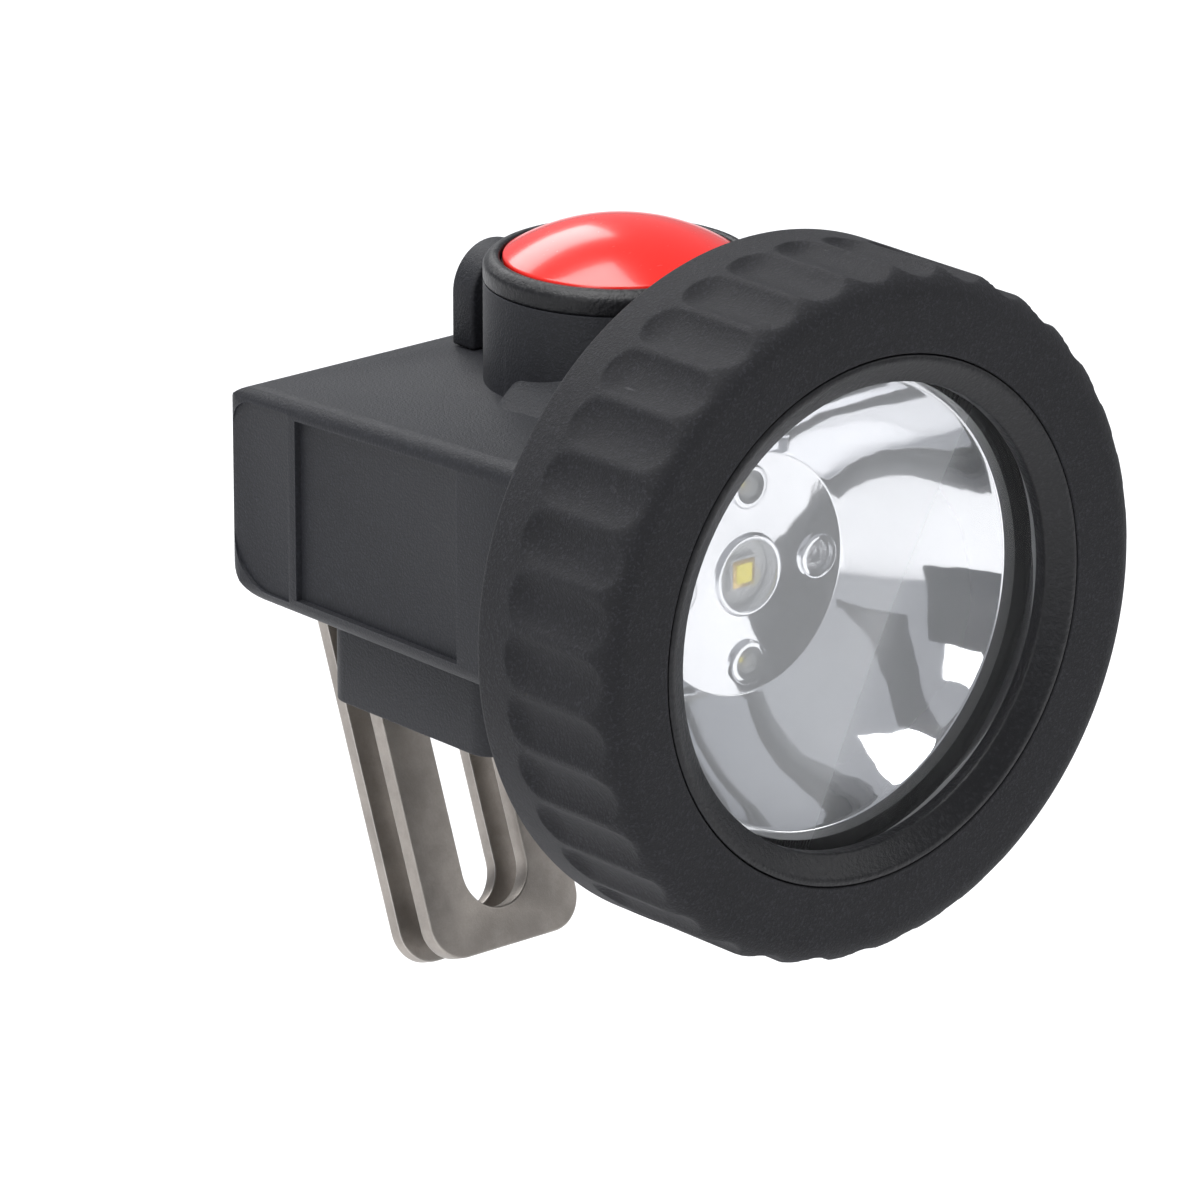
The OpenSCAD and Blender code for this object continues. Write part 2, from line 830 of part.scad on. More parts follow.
// Aluminium heat sink between the LED board and the barrel's ledge
module heat_sink() {
    color("#b4b8bb")
    placed() difference() {
        beam_disc(sink_r, sink_front, sink_back);
        beam_ring(sink_r - 2, cup_base_d / 2 + 1.5, sink_front - 1, sink_front + 2.4);
        at_wells([0, 180]) beam_disc(1 + bore_gap, 0, sink_front + 3.2);
        for (x = [-1, 1])
            translate([x * led_lead_x, 0, lead_floor]) beam_disc(lead_r + touch_gap, 0, sink_back + 1);
    }
}

// Two round cells lying across the box
module battery_cells() {
    cap_r = 3;
    cap_t = 0.6;
    edge = 0.8;
    color("#2f6fb0")
    placed() at_cells() difference() {
        rotate([0, 90, 0]) cylinder(h = cell_l, r = cell_d / 2, center = true);
        for (side = [-1, 1])
            translate([side * cell_l / 2, 0, 0]) rotate([0, 90, 0])
                difference() {
                    cylinder(h = edge, r = cell_d / 2 - 1, center = true);
                    cylinder(h = cap_t + 1, r = cap_r, center = true);
                }
    }
}

// Places of the cells, from front to back
module at_cells() {
    for (i = [0:cell_count - 1])
        translate([0, room_front + cell_gap + cell_d / 2 + i * (cell_d + cell_gap), box_mid_z])
            children();
}

// Nickel strips that join the cells at each end
module cell_tabs() {
    color("#c9c7bd")
    placed() for (side = [-1, 1])
        translate([side * (cell_l + tab_strip_t) / 2, (room_front + room_back) / 2, box_mid_z])
            cube([tab_strip_t, (cell_count - 1) * (cell_d + cell_gap) + 7, 5], center = true);
}

// End plates that hold the cells in the box
module cell_holders() {
    plate_h = room_top - room_floor - 2 * touch_gap;
    plate_l = room_back - room_front - 2 * touch_gap;
    x = cell_l / 2 + tab_strip_t + touch_gap + holder_t / 2;
    color("#4a4c50")
    placed() for (side = [-1, 1])
        translate([side * x, (room_front + room_back) / 2, box_mid_z])
            cube([holder_t, plate_l, plate_h], center = true);
}

// Control board in the base
module control_board() {
    color("#1f6b3a")
    placed() translate([-circuit_w / 2, base_mid - circuit_l / 2, circuit_bottom])
        cube([circuit_w, circuit_l, circuit_t]);
}

// Parts on the control board: coil, controller, capacitors and the battery plug
module driver_parts() {
    color("#2b2d31")
    placed() translate([0, base_mid, circuit_top]) {
        translate([-7, 1.5, 0]) cylinder(h = 3, r = 3);
        translate([-2, -1, 0]) cube([5, 5, 1.2]);
        for (y = [-1, 3.5])
            translate([7.5, y, 0]) cylinder(h = 3.2, r = 1.6);
        translate([-4, 4.5, 0]) cube([7, 2, 1.6]);
    }
}

// Two charging contacts in the base block's underside
module charge_contacts() {
    color("#d4af5a")
    placed() for (x = [-1, 1])
        translate([x * contact_x, base_mid, 0]) {
            translate([0, 0, base_bottom + 0.2]) cylinder(h = 0.8, r = contact_r);
            translate([0, 0, base_bottom + 0.2])
                cylinder(h = circuit_bottom - base_bottom - 0.2, r = contact_pin_r);
        }
}

// Two wires from the control board to the LED board
module led_leads() {
    color("#b8322a")
    placed() for (side = [-1, 1]) {
        x = side * led_lead_x;
        wire([
            [x, lead_y, circuit_top],
            [x, lead_y, lead_floor],
            [x, sink_front, lead_floor]
        ], lead_r);
    }
}

// Two wires from the switch board, down in front of the cells to the control board
module switch_leads() {
    drop_z = room_top - lead_r - touch_gap;
    color("#2a2a2a")
    placed() for (side = [-1, 1]) {
        x = side * switch_lead_x;
        near = side * switch_wire_x;
        wire([
            [near, switch_wire_y, switch_board_z],
            [near, switch_wire_y, drop_z],
            [x, switch_wire_y, drop_z],
            [x, lead_shaft_y, drop_z],
            [x, lead_shaft_y, lead_floor],
            [x, lead_y, lead_floor],
            [x, lead_y, circuit_top]
        ], lead_r);
    }
}

// Red domed button with a skirt, a stem and a retaining flange
module button() {
    color("#d8261c")
    placed() translate([0, turret_back, 0]) {
        difference() {
            union() {
                intersection() {
                    translate([0, 0, turret_top + button_dome - dome_r]) sphere(dome_r, $fn = 128);
                    translate([0, 0, button_web]) cylinder(h = 2 * turret_h, r = button_r);
                }
                translate([0, 0, flange_top - button_flange_t])
                    cylinder(h = button_web - flange_top + button_flange_t, r = button_r);
                translate([0, 0, flange_top - button_flange_t])
                    cylinder(h = button_flange_t, r = button_flange_r);
            }
            translate([0, 0, flange_top - button_flange_t - 1])
                cylinder(h = button_web - flange_top + button_flange_t + 1, r = button_hollow_r);
            rotate_extrude() translate([button_seal_r, button_seal_z])
                square([button_seal_d * 2, button_seal_d + touch_gap], center = true);
        }
        translate([0, 0, stem_bottom])
            cylinder(h = button_web - stem_bottom + 1, r = stem_r);
    }
}

// Round seal on the button's skirt
module button_seal() {
    color("#151515")
    placed() translate([0, turret_back, button_seal_z])
        rotate_extrude() translate([button_seal_r, 0]) circle(button_seal_d / 2, $fn = 24);
}

// Ring that closes the turret and keeps the button in
module button_collar() {
    edge = 0.8;
    color("#26272a")
    placed() translate([0, turret_back, collar_bottom])
        rotate_extrude() polygon([
            [collar_in_r, 0],
            [turret_r, 0],
            [turret_r, collar_t - edge],
            [turret_r - edge, collar_t],
            [collar_in_r, collar_t]
        ]);
}

// Coil spring that lifts the button
module button_spring() {
    length = button_web - switch_board_top - 2 * spring_wire_r - 2 * touch_gap;
    rings = spring_turns * spring_steps;
    points = [for (i = [0:rings], j = [0:spring_sides - 1])
        let (turn = 360 * i / spring_steps, around = 360 * j / spring_sides,
             r = spring_r + spring_wire_r * cos(around))
        [r * cos(turn), r * sin(turn), length * i / rings + spring_wire_r * sin(around)]];
    sides = [for (i = [0:rings - 1], j = [0:spring_sides - 1])
        let (next = (j + 1) % spring_sides, here = i * spring_sides)
        [here + j, here + spring_sides + j, here + spring_sides + next, here + next]];
    first = [for (j = [0:spring_sides - 1]) j];
    last = [for (j = [spring_sides - 1:-1:0]) rings * spring_sides + j];
    color("#c2c6c9")
    placed() translate([0, turret_back, switch_board_top + spring_wire_r + touch_gap])
        polyhedron(points, concat(sides, [first], [last]), convexity = 10);
}

// Push switch under the button
module tact_switch() {
    color("#3b3c3f")
    placed() translate([0, turret_back, switch_board_top]) {
        translate([-switch_side / 2, -switch_side / 2, 0]) cube([switch_side, switch_side, switch_h]);
        translate([0, 0, switch_h]) cylinder(h = plunger_h, r = plunger_r);
    }
}

// Small round board that carries the push switch
module switch_board() {
    color("#1f6b3a")
    placed() translate([0, turret_back, switch_board_z])
        cylinder(h = switch_board_t, r = switch_board_r);
}

// Loop for a safety cord, with a tang through the box top
module lanyard_eye() {
    hole_r = eye_w / 2 - eye_leg;
    centre_z = eye_base + eye_h - eye_w / 2;
    color("#222326")
    placed() translate([0, eye_y, 0]) {
        rotate([90, 0, 0]) translate([0, 0, -eye_t / 2]) linear_extrude(eye_t) difference() {
            union() {
                translate([-eye_w / 2, eye_base]) square([eye_w, centre_z - eye_base]);
                translate([0, centre_z]) circle(eye_w / 2);
            }
            translate([-hole_r, eye_hole_bottom]) square([2 * hole_r, centre_z - eye_hole_bottom]);
            translate([0, centre_z]) circle(hole_r);
        }
        translate([-eye_tang_w / 2, -eye_tang_t / 2, room_top])
            cube([eye_tang_w, eye_tang_t, eye_base - room_top + 1]);
    }
}

// Wedge on the rear of the box that carries the clip at its lean
module clip_block() {
    low = seat_z - block_h / 2;
    high = seat_z + block_h / 2;
    lean_y = tan(clip_lean);
    color("#222326")
    placed() difference() {
        across(block_w) polygon([
            [box_rear, low],
            [seat_y + (low - seat_z) * lean_y, low],
            [seat_y + (high - seat_z) * lean_y, high],
            [box_rear, high]
        ]);
        on_clip() for (x = [-1, 1])
            translate([x * clip_screw_x, -clip_hole_depth, 0]) along_beam()
                cylinder(h = clip_hole_depth + 1, r = clip_screw_r + bore_gap);
        at_block_screws() translate([0, box_rear - 1, 0]) along_beam()
            cylinder(h = 5.5, r = small_screw_r + bore_gap);
    }
}

// Two screws from inside the box into the clip block
module block_screws() {
    head_y = room_back + 1 - small_head_t;
    color("#a8abad")
    placed() at_block_screws() translate([0, head_y, 0]) along_beam() {
        cylinder(h = small_head_t, r = small_head_r);
        cylinder(h = small_head_t + wall + 2.6, r = small_screw_r);
    }
}

// Flat leaf of the clip, drawn in the clip's frame
module clip_leaf(front, thickness) {
    height = leaf_top + clip_drop;
    translate([0, front + thickness, 0]) rotate([90, 0, 0])
        linear_extrude(thickness) difference() {
            translate([0, leaf_top - height / 2]) rounded_rect(clip_w, height, clip_corner_r);
            translate([0, slot_mid]) obround(slot_w, slot_l);
            for (x = [-1, 1])
                translate([x * clip_screw_x, 0]) circle(clip_screw_r + touch_gap);
        }
}

// Front leaf of the clip, with its long slot
module clip_plate() {
    color("#8f8982")
    placed() on_clip() clip_leaf(0, plate_t);
}

// Rear leaf of the clip, which goes down inside the helmet bracket, countersunk for its screws
module clip_tongue() {
    color("#8a857f")
    placed() on_clip() difference() {
        clip_leaf(tongue_front, tongue_t);
        at_clip_screws() screw_head(touch_gap, clip_head_sink + 1);
    }
}

// Spacer that keeps the two leaves apart
module clip_spacer() {
    color("#9b968f")
    placed() on_clip() difference() {
        translate([-clip_w / 2, plate_t, leaf_top - block_h])
            cube([clip_w, clip_gap, block_h]);
        for (x = [-1, 1])
            translate([x * clip_screw_x, 0, 0]) along_beam()
                cylinder(h = tongue_front + 1, r = clip_screw_r + touch_gap);
    }
}

// Places of the clip's two screws, on the rear face of the rear leaf
module at_clip_screws() {
    for (x = [-1, 1])
        translate([x * clip_screw_x, tongue_front + tongue_t, 0]) children();
}

// Countersunk head just under the surface at y = 0, wider by a gap and longer by an overrun
module screw_head(gap, over) {
    translate([0, -clip_head_sink - clip_head_t, 0]) along_beam()
        cylinder(h = clip_head_t + over, r1 = clip_screw_r + gap, r2 = clip_head_r + gap + over);
}

// Two countersunk screws through the leaves and the spacer into the clip block
module clip_screws() {
    length = clip_hole_depth - 0.5 + tongue_front + tongue_t;
    socket_r = 1.45;
    socket = 0.9;
    color("#a8abad")
    placed() on_clip() at_clip_screws() difference() {
        union() {
            screw_head(0, 0);
            translate([0, -length, 0]) along_beam()
                cylinder(h = length - clip_head_sink - clip_head_t + eps, r = clip_screw_r);
        }
        translate([0, -socket - clip_head_sink, 0]) along_beam()
            cylinder(h = 2 * socket, r = socket_r, $fn = 6);
    }
}

housing();
base_cover();
base_gasket();
cover_screws();
bezel_grip();
bezel_ring();
bezel_seal();
lens();
lens_gasket();
reflector();
reflector_screws();
main_led();
aux_leds();
led_board();
heat_sink();
battery_cells();
cell_tabs();
cell_holders();
control_board();
driver_parts();
charge_contacts();
led_leads();
switch_leads();
button();
button_seal();
button_collar();
button_spring();
tact_switch();
switch_board();
lanyard_eye();
clip_block();
block_screws();
clip_plate();
clip_spacer();
clip_tongue();
clip_screws();
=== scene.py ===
"""Finished look of a cordless cap lamp: its pieces, their materials, soft light and the camera."""
import json
from math import atan2, cos, hypot, pi, radians, sin, sqrt, tan

import bmesh
import bpy
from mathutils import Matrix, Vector


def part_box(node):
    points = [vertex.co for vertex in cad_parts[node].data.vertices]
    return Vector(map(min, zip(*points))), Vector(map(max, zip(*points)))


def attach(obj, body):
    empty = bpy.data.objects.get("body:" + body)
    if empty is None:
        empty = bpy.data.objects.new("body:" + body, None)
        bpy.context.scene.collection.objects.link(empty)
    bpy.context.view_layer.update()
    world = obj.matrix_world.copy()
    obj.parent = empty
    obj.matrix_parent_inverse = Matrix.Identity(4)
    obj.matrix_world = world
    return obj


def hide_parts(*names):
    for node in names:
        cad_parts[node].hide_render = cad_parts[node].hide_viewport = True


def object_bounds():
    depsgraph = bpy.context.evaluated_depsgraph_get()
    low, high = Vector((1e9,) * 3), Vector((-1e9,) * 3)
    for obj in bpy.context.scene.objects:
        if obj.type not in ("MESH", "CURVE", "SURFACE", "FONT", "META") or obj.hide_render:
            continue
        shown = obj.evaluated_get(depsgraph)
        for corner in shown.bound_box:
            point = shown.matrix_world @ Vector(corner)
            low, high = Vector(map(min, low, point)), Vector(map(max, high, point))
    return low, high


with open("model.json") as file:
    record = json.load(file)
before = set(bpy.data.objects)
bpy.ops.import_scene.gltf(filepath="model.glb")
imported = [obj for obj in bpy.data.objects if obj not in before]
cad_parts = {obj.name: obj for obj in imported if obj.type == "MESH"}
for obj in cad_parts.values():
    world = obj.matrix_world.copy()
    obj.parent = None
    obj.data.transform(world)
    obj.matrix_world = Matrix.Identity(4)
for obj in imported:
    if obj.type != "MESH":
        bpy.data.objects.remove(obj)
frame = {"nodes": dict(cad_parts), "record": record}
CAD_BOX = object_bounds()

bl_info = {
    "name": "Cap lamp",
    "version": (1, 0, 0),
    "blender": (4, 5, 0),
    "location": "3D View > Sidebar > Cap lamp",
    "description": "Builds the finished pieces, materials and stage of a cordless cap lamp",
    "category": "Object",
}

MM = 0.001
SLOTS = {part["node"]: part["material_slot"] for part in frame["record"]["subparts"]}
BODIES = {node: body for body, nodes in frame["record"]["behaviour"]["bodies"].items()
          for node in nodes}


# ---------------------------------------- places that come from the frame

def span(node, axis):
    """Lowest and highest place of a CAD node along one axis."""
    low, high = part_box(node)
    return low[axis], high[axis]


GRIP_LOW, GRIP_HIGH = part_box("bezel_grip")
FRONT = GRIP_LOW.y
BEAM = Vector((0, FRONT, (GRIP_LOW.z + GRIP_HIGH.z) / 2))
GRIP_R = (GRIP_HIGH.z - GRIP_LOW.z) / 2
GRIP_DEPTH = GRIP_HIGH.y - FRONT
CUP_RIM = span("reflector", 1)[0] - FRONT
CUP_BACK = span("reflector", 1)[1] - FRONT
CUP_FLANGE_R = span("reflector", 0)[1]
LED_FRONT, LED_BACK = span("main_led", 1)
LED_SIDE = 2 * span("main_led", 0)[1]
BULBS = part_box("aux_leds")
BUTTON_LOW, BUTTON_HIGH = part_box("button")
TURRET = Vector((0, (BUTTON_LOW.y + BUTTON_HIGH.y) / 2, span("button_collar", 2)[1]))
BUTTON_FLANGE_R = BUTTON_HIGH.x


# ---------------------------------------- fixed sizes, shares and stage values

GRIP_MOUTH_R = 27.5 * MM
GRIP_WEB = 1.2 * MM
GRIP_GAP = 0.1 * MM
# Rows of points along the grip, in mm, closer together where the flutes run out
FLUTE_ROWS = (3.6, 5, 6.5, 8, 9.2, 10.2, 11, 11.7, 12.3, 12.8, 13.2, 13.6, 13.9, 14.15, 14.35,
              14.5, 14.62, 14.72, 14.8, 15.1)
LED_PACKAGE_SHARE = 0.98
LED_FRAME_SHARE = 0.82
LED_PHOSPHOR_SHARE = 0.58
LED_DOME_SHARE = 0.4
LED_BASE_T = 0.75 * MM
LED_DIE_T = 0.12 * MM
DOME_FOOT = 0.1 * MM
BUTTON_FLANGE_GAP = 0.3 * MM
BUTTON_FLANGE_T = 1.8 * MM
BUTTON_WEB_LIFT = 0.4 * MM
BUTTON_WALL = 2 * MM
STEM_R = 2 * MM
GROOVE_LOW, GROOVE_HIGH = -1.85 * MM, -0.55 * MM
GROOVE_R = 10.45 * MM
BUTTON_DOME_TURN = 30
BUTTON_DOME_STEPS = 16
CELL_SLEEVE_RIM = 0.35 * MM
FLOOR_DROP = 50 * MM
WORLD_TINT = (0.9, 0.93, 1.0)
WORLD_STRENGTH = 0.36
CAMERA_PLACE = Vector((-0.5813, -0.7057, 0.3334))
CAMERA_LENS = 275


# ---------------------------------------- sizes and colours a user may change

class CapLampSizes(bpy.types.PropertyGroup):
    """Sizes of the finished pieces that the frame doesn't give."""
    flute_count: bpy.props.IntProperty(
        name="Flutes", description="Flutes around the rubber grip", default=36, min=12)
    flute_depth: bpy.props.FloatProperty(
        name="Flute depth", description="Depth of each flute", default=0.9 * MM, unit="LENGTH")
    flute_fill: bpy.props.FloatProperty(
        name="Flute fill", description="Part of its pitch that each flute takes up",
        default=0.95, subtype="FACTOR")
    flute_end: bpy.props.FloatProperty(
        name="Flute end", description="Where the flutes end, behind the bezel's front face",
        default=14.8 * MM, unit="LENGTH")
    flute_run_out: bpy.props.FloatProperty(
        name="Flute run-out", description="Length over which each flute gets shallower",
        default=3 * MM, unit="LENGTH")
    ridge_angle: bpy.props.FloatProperty(
        name="Ridge angle", description="Place of the first ridge, from the right upwards",
        default=radians(4), subtype="ANGLE")
    front_edge: bpy.props.FloatProperty(
        name="Front edge", description="Radius of the grip's front edge",
        default=3 * MM, unit="LENGTH")
    moulded_edge: bpy.props.FloatProperty(
        name="Moulded edge", description="Rounding of the edges of moulded pieces",
        default=0.4 * MM, unit="LENGTH")
    steel_edge: bpy.props.FloatProperty(
        name="Steel edge", description="Rounding of the edges of the clip's leaves",
        default=0.5 * MM, unit="LENGTH")
    cup_base_r: bpy.props.FloatProperty(
        name="Cup base", description="Radius of the mirror cup's flat base",
        default=12.7 * MM, unit="LENGTH")
    cup_mouth_r: bpy.props.FloatProperty(
        name="Cup mouth", description="Radius of the mirror at its mouth",
        default=23.5 * MM, unit="LENGTH")
    cup_hollow: bpy.props.FloatProperty(
        name="Cup hollow", description="How far the mirror bows out from a straight cone",
        default=0.9 * MM, unit="LENGTH")
    cup_wall: bpy.props.FloatProperty(
        name="Cup wall", description="Wall of the mirror cup", default=1.2 * MM, unit="LENGTH")
    led_hole_r: bpy.props.FloatProperty(
        name="LED hole", description="Radius of the hole around the main LED",
        default=3.7 * MM, unit="LENGTH")
    well_r: bpy.props.FloatProperty(
        name="Well", description="Radius of the small wells", default=1.75 * MM, unit="LENGTH")
    well_pitch_r: bpy.props.FloatProperty(
        name="Well pitch", description="Distance of the small wells from the beam axis",
        default=9.4 * MM, unit="LENGTH")
    button_r: bpy.props.FloatProperty(
        name="Button", description="Radius of the button", default=12 * MM, unit="LENGTH")


class CapLampColours(bpy.types.PropertyGroup):
    """Colours of the finishes, as linear red, green and blue."""
    housing: bpy.props.FloatVectorProperty(
        name="Housing", description="Moulded housing", default=(0.0095, 0.010, 0.0125),
        subtype="COLOR")
    rubber: bpy.props.FloatVectorProperty(
        name="Rubber", description="Rubber grip", default=(0.0085, 0.0085, 0.0102),
        subtype="COLOR")
    ring: bpy.props.FloatVectorProperty(
        name="Ring", description="Hard bezel ring and collar", default=(0.006, 0.006, 0.007),
        subtype="COLOR")
    button: bpy.props.FloatVectorProperty(
        name="Button", description="Glossy button", default=(0.74, 0.016, 0.010),
        subtype="COLOR")
    steel: bpy.props.FloatVectorProperty(
        name="Steel", description="Blasted steel of the clip", default=(0.36, 0.33, 0.30),
        subtype="COLOR")
    phosphor: bpy.props.FloatVectorProperty(
        name="Phosphor", description="Phosphor of the main LED", default=(0.95, 0.74, 0.06),
        subtype="COLOR")
    cell: bpy.props.FloatVectorProperty(
        name="Cell", description="Sleeve of the cells", default=(0.04, 0.16, 0.42),
        subtype="COLOR")
    floor: bpy.props.FloatVectorProperty(
        name="Floor", description="Floor under the lamp", default=(0.86, 0.86, 0.87),
        subtype="COLOR")


def sizes():
    """The sizes as they are set in the scene."""
    return bpy.context.scene.cap_lamp_sizes


def colours():
    """The colours as they are set in the scene."""
    return bpy.context.scene.cap_lamp_colours


# ---------------------------------------- shader maths

class Wire:
    """A socket that can stand in a sum: each operator adds its Math node."""

    def __init__(self, paint, socket):
        self.paint = paint
        self.socket = socket

    def math(self, operation, *others):
        inputs = dict(enumerate((self, *others)))
        return self.paint.node("ShaderNodeMath", {"operation": operation}, inputs)

    def __add__(self, other):
        return self.math("ADD", other)

    def __mul__(self, other):
        return self.math("MULTIPLY", other)

    def __sub__(self, other):
        return self.math("SUBTRACT", other)

    def __rsub__(self, other):
        return self.paint.node("ShaderNodeMath", {"operation": "SUBTRACT"}, {0: other, 1: self})

    __radd__ = __add__
    __rmul__ = __mul__

    def above(self, low, high):
        """0 below low, 1 above high and a smooth step between them."""
        settings = {"interpolation_type": "SMOOTHSTEP"}
        return self.paint.node("ShaderNodeMapRange", settings, {0: self, 1: low, 2: high})


class Paint:
    """One material: its nodes come from node(), and surface() closes it."""

    def __init__(self, name):
        self.material = bpy.data.materials.new(name)
        self.material.use_nodes = True
        self.tree = self.material.node_tree
        self.tree.nodes.clear()
        self.place = self.node("ShaderNodeTexCoord", output="Object")

    def node(self, kind, settings=None, values=None, output=0):
        """A node of a type, with its settings made first and then its values or links."""
        node = self.tree.nodes.new(kind)
        for key, value in (settings or {}).items():
            if key == "stops":
                for index, (position, colour) in enumerate(value):
                    stops = node.color_ramp.elements
                    stop = stops[index] if index < 2 else stops.new(position)
                    stop.position = position
                    stop.color = (*colour, 1)
            else:
                setattr(node, key, value)
        for key, value in (values or {}).items():
            if isinstance(value, Wire):
                self.tree.links.new(value.socket, node.inputs[key])
            else:
                node.inputs[key].default_value = value
        return Wire(self, node.outputs[output])

    def noise(self, grain, detail=3, roughness=0.5, place=None):
        """Cloudy noise whose lumps are about one grain across."""
        values = {"Vector": place or self.place, "Scale": 1 / grain, "Detail": detail,
                  "Roughness": roughness}
        return self.node("ShaderNodeTexNoise", None, values)

    def stretched(self, across, along, up):
        """The place, squeezed along each axis so that patterns stretch."""
        values = {"Vector": self.place, "Scale": (across, along, up)}
        return self.node("ShaderNodeMapping", None, values)

    def split(self, output):
        """X, Y or Z of the place."""
        return self.node("ShaderNodeSeparateXYZ", None, {0: self.place}, output)

    def blend(self, factor, first, second):
        """A mix of two colours or colour wires."""
        first = first if isinstance(first, Wire) else (*first, 1)
        second = second if isinstance(second, Wire) else (*second, 1)
        values = {0: factor, 6: first, 7: second}
        return self.node("ShaderNodeMix", {"data_type": "RGBA"}, values, 2)

    def edges(self, radius):
        """1 on edges and 0 on flats, from how far a rounded normal leaves the true one."""
        rounded = self.node("ShaderNodeBevel", {"samples": 6}, {"Radius": radius})
        true = self.node("ShaderNodeNewGeometry", output="Normal")
        settings = {"operation": "DOT_PRODUCT"}
        alike = self.node("ShaderNodeVectorMath", settings, {0: rounded, 1: true}, 1)
        return (1 - alike).above(0.01, 0.2)

    def bump(self, height, distance, strength=1, under=None):
        """A normal raised by a height that is 1 at the given distance."""
        values = {"Height": height, "Distance": distance, "Strength": strength}
        if under:
            values["Normal"] = under
        return self.node("ShaderNodeBump", None, values)

    def surface(self, **values):
        """Closes the material with one Principled shader, named inputs with _ for spaces."""
        sockets = {key.replace("_", " "): value for key, value in values.items()}
        shader = self.node("ShaderNodeBsdfPrincipled", None, sockets)
        output = self.tree.nodes.new("ShaderNodeOutputMaterial")
        self.tree.links.new(shader.socket, output.inputs["Surface"])
        return self.material


def lighter(colour, factor):
    """A colour, brighter by a factor."""
    return tuple(min(1, channel * factor) for channel in colour)


# ---------------------------------------- finishes

def moulded_black(name, colour, roughness=0.5, grain=0.28 * MM):
    """Hard moulded plastic with a spark-eroded grain, faint clouds and glossier, lighter edges:
    partly edge wear, partly a painted highlight.
    """
    paint = Paint(name)
    clouds = paint.noise(14 * MM, 4)
    speckle = paint.noise(grain, 2, 0.7)
    edges = paint.edges(0.5 * MM)
    rubs = paint.noise(2.2 * MM, 6, 0.75, paint.stretched(1, 0.35, 1)).above(0.6, 0.74)
    tone = paint.blend(clouds, lighter(colour, 0.8), lighter(colour, 1.3))
    tone = paint.blend(speckle.above(0.5, 0.7) * 0.55, tone, lighter(colour, 3))
    # Lighter edge colour: partly edge wear, partly a painted highlight along the rounded edges
    tone = paint.blend(edges * 0.45, tone, lighter(colour, 2.6))
    rough = roughness + speckle * 0.16 - edges * 0.12 - rubs * 0.07
    relief = paint.bump(speckle, 0.09 * MM, 1)
    return paint.surface(Base_Color=tone, Roughness=rough, Normal=relief, Specular_IOR_Level=0.35)


def moulded_rubber(name, colour):
    """Charcoal rubber with a fine open grain, dusty rubs on its ridges and soft hollows."""
    paint = Paint(name)
    clouds = paint.noise(9 * MM, 4)
    grain = paint.noise(0.34 * MM, 3, 0.75)
    lumps = paint.noise(1.6 * MM, 4, 0.6)
    edges = paint.edges(0.9 * MM)
    dust = paint.noise(3.1 * MM, 8, 0.8).above(0.52, 0.72)
    scratches = paint.noise(0.5 * MM, 3, 0.7, paint.stretched(1, 0.12, 1)).above(0.62, 0.7)
    tone = paint.blend(clouds, lighter(colour, 0.75), lighter(colour, 1.35))
    tone = paint.blend(grain.above(0.5, 0.68) * 0.6, tone, lighter(colour, 4))
    tone = paint.blend(edges * (dust * 0.55 + 0.1), tone, (0.085, 0.085, 0.092))
    tone = paint.blend(scratches * dust * 0.5, tone, (0.11, 0.11, 0.115))
    rough = 0.6 + grain * 0.2 + dust * 0.08
    relief = paint.bump(lumps, 0.1 * MM, 0.5)
    relief = paint.bump(grain, 0.14 * MM, 1, relief)
    return paint.surface(Base_Color=tone, Roughness=rough, Normal=relief, Specular_IOR_Level=0.28,
                         Sheen_Weight=0.02, Sheen_Roughness=0.5)


def seal_rubber(name):
    """Smooth dark seal rubber with moulding dust."""
    paint = Paint(name)
    dust = paint.noise(0.6 * MM, 4, 0.7)
    tone = paint.blend(dust.above(0.5, 0.8), (0.012, 0.012, 0.012), (0.03, 0.03, 0.03))
    return paint.surface(Base_Color=tone, Roughness=0.45 + dust * 0.2,
                         Normal=paint.bump(dust, 0.02 * MM, 0.5))


def clear_plastic(name, cast=(0.9, 0.93, 0.95), haze=0.015):
    """Thin clear plastic: mostly see-through, with gloss and a painted whitish sheen that grow at a
    slant, and a few specks.
    """
    paint = Paint(name)
    slant = paint.node("ShaderNodeFresnel", None, {"IOR": 1.45})
    specks = paint.noise(0.45 * MM, 2, 0.6).above(0.76, 0.8)
    smears = paint.noise(11 * MM, 5, 0.7)
    # Opacity rising at a slant over a near-white tone is a painted sheen standing in for
    # reflection; haze and specks are real
    alpha = slant * 0.3 + specks * 0.15 + haze * smears
    tone = paint.blend(smears, cast, (1, 1, 1))
    return paint.surface(Base_Color=tone, Roughness=0.02 + smears * 0.04, Alpha=alpha)


def mirror_metal(name):
    """Bright vapour-coated mirror with the slight waves and specks of its moulding."""
    paint = Paint(name)
    waves = paint.noise(7.5 * MM, 2, 0.4)
    ripples = paint.noise(1.7 * MM, 3, 0.5)
    specks = paint.noise(0.3 * MM, 2, 0.6).above(0.74, 0.8)
    tone = paint.blend(specks * 0.6, (0.90, 0.905, 0.92), (0.55, 0.56, 0.58))
    relief = paint.bump(waves, 0.16 * MM, 0.55)
    relief = paint.bump(ripples, 0.01 * MM, 0.35, relief)
    return paint.surface(Base_Color=tone, Roughness=0.035 + specks * 0.25 + waves * 0.02,
                         Metallic=1.0, Normal=relief)


def phosphor(name, colour):
    """Yellow phosphor layer with a fine granular face and a faint painted glow."""
    paint = Paint(name)
    grains = paint.noise(0.12 * MM, 3, 0.7)
    tone = paint.blend(grains, colour, lighter(colour, 1.25))
    # The emission is a painted glow: the LED is not lit, it only makes the phosphor look brighter
    return paint.surface(Base_Color=tone, Roughness=0.55 + grains * 0.2, Emission_Color=tone,
                         Emission_Strength=0.25, Normal=paint.bump(grains, 0.01 * MM))


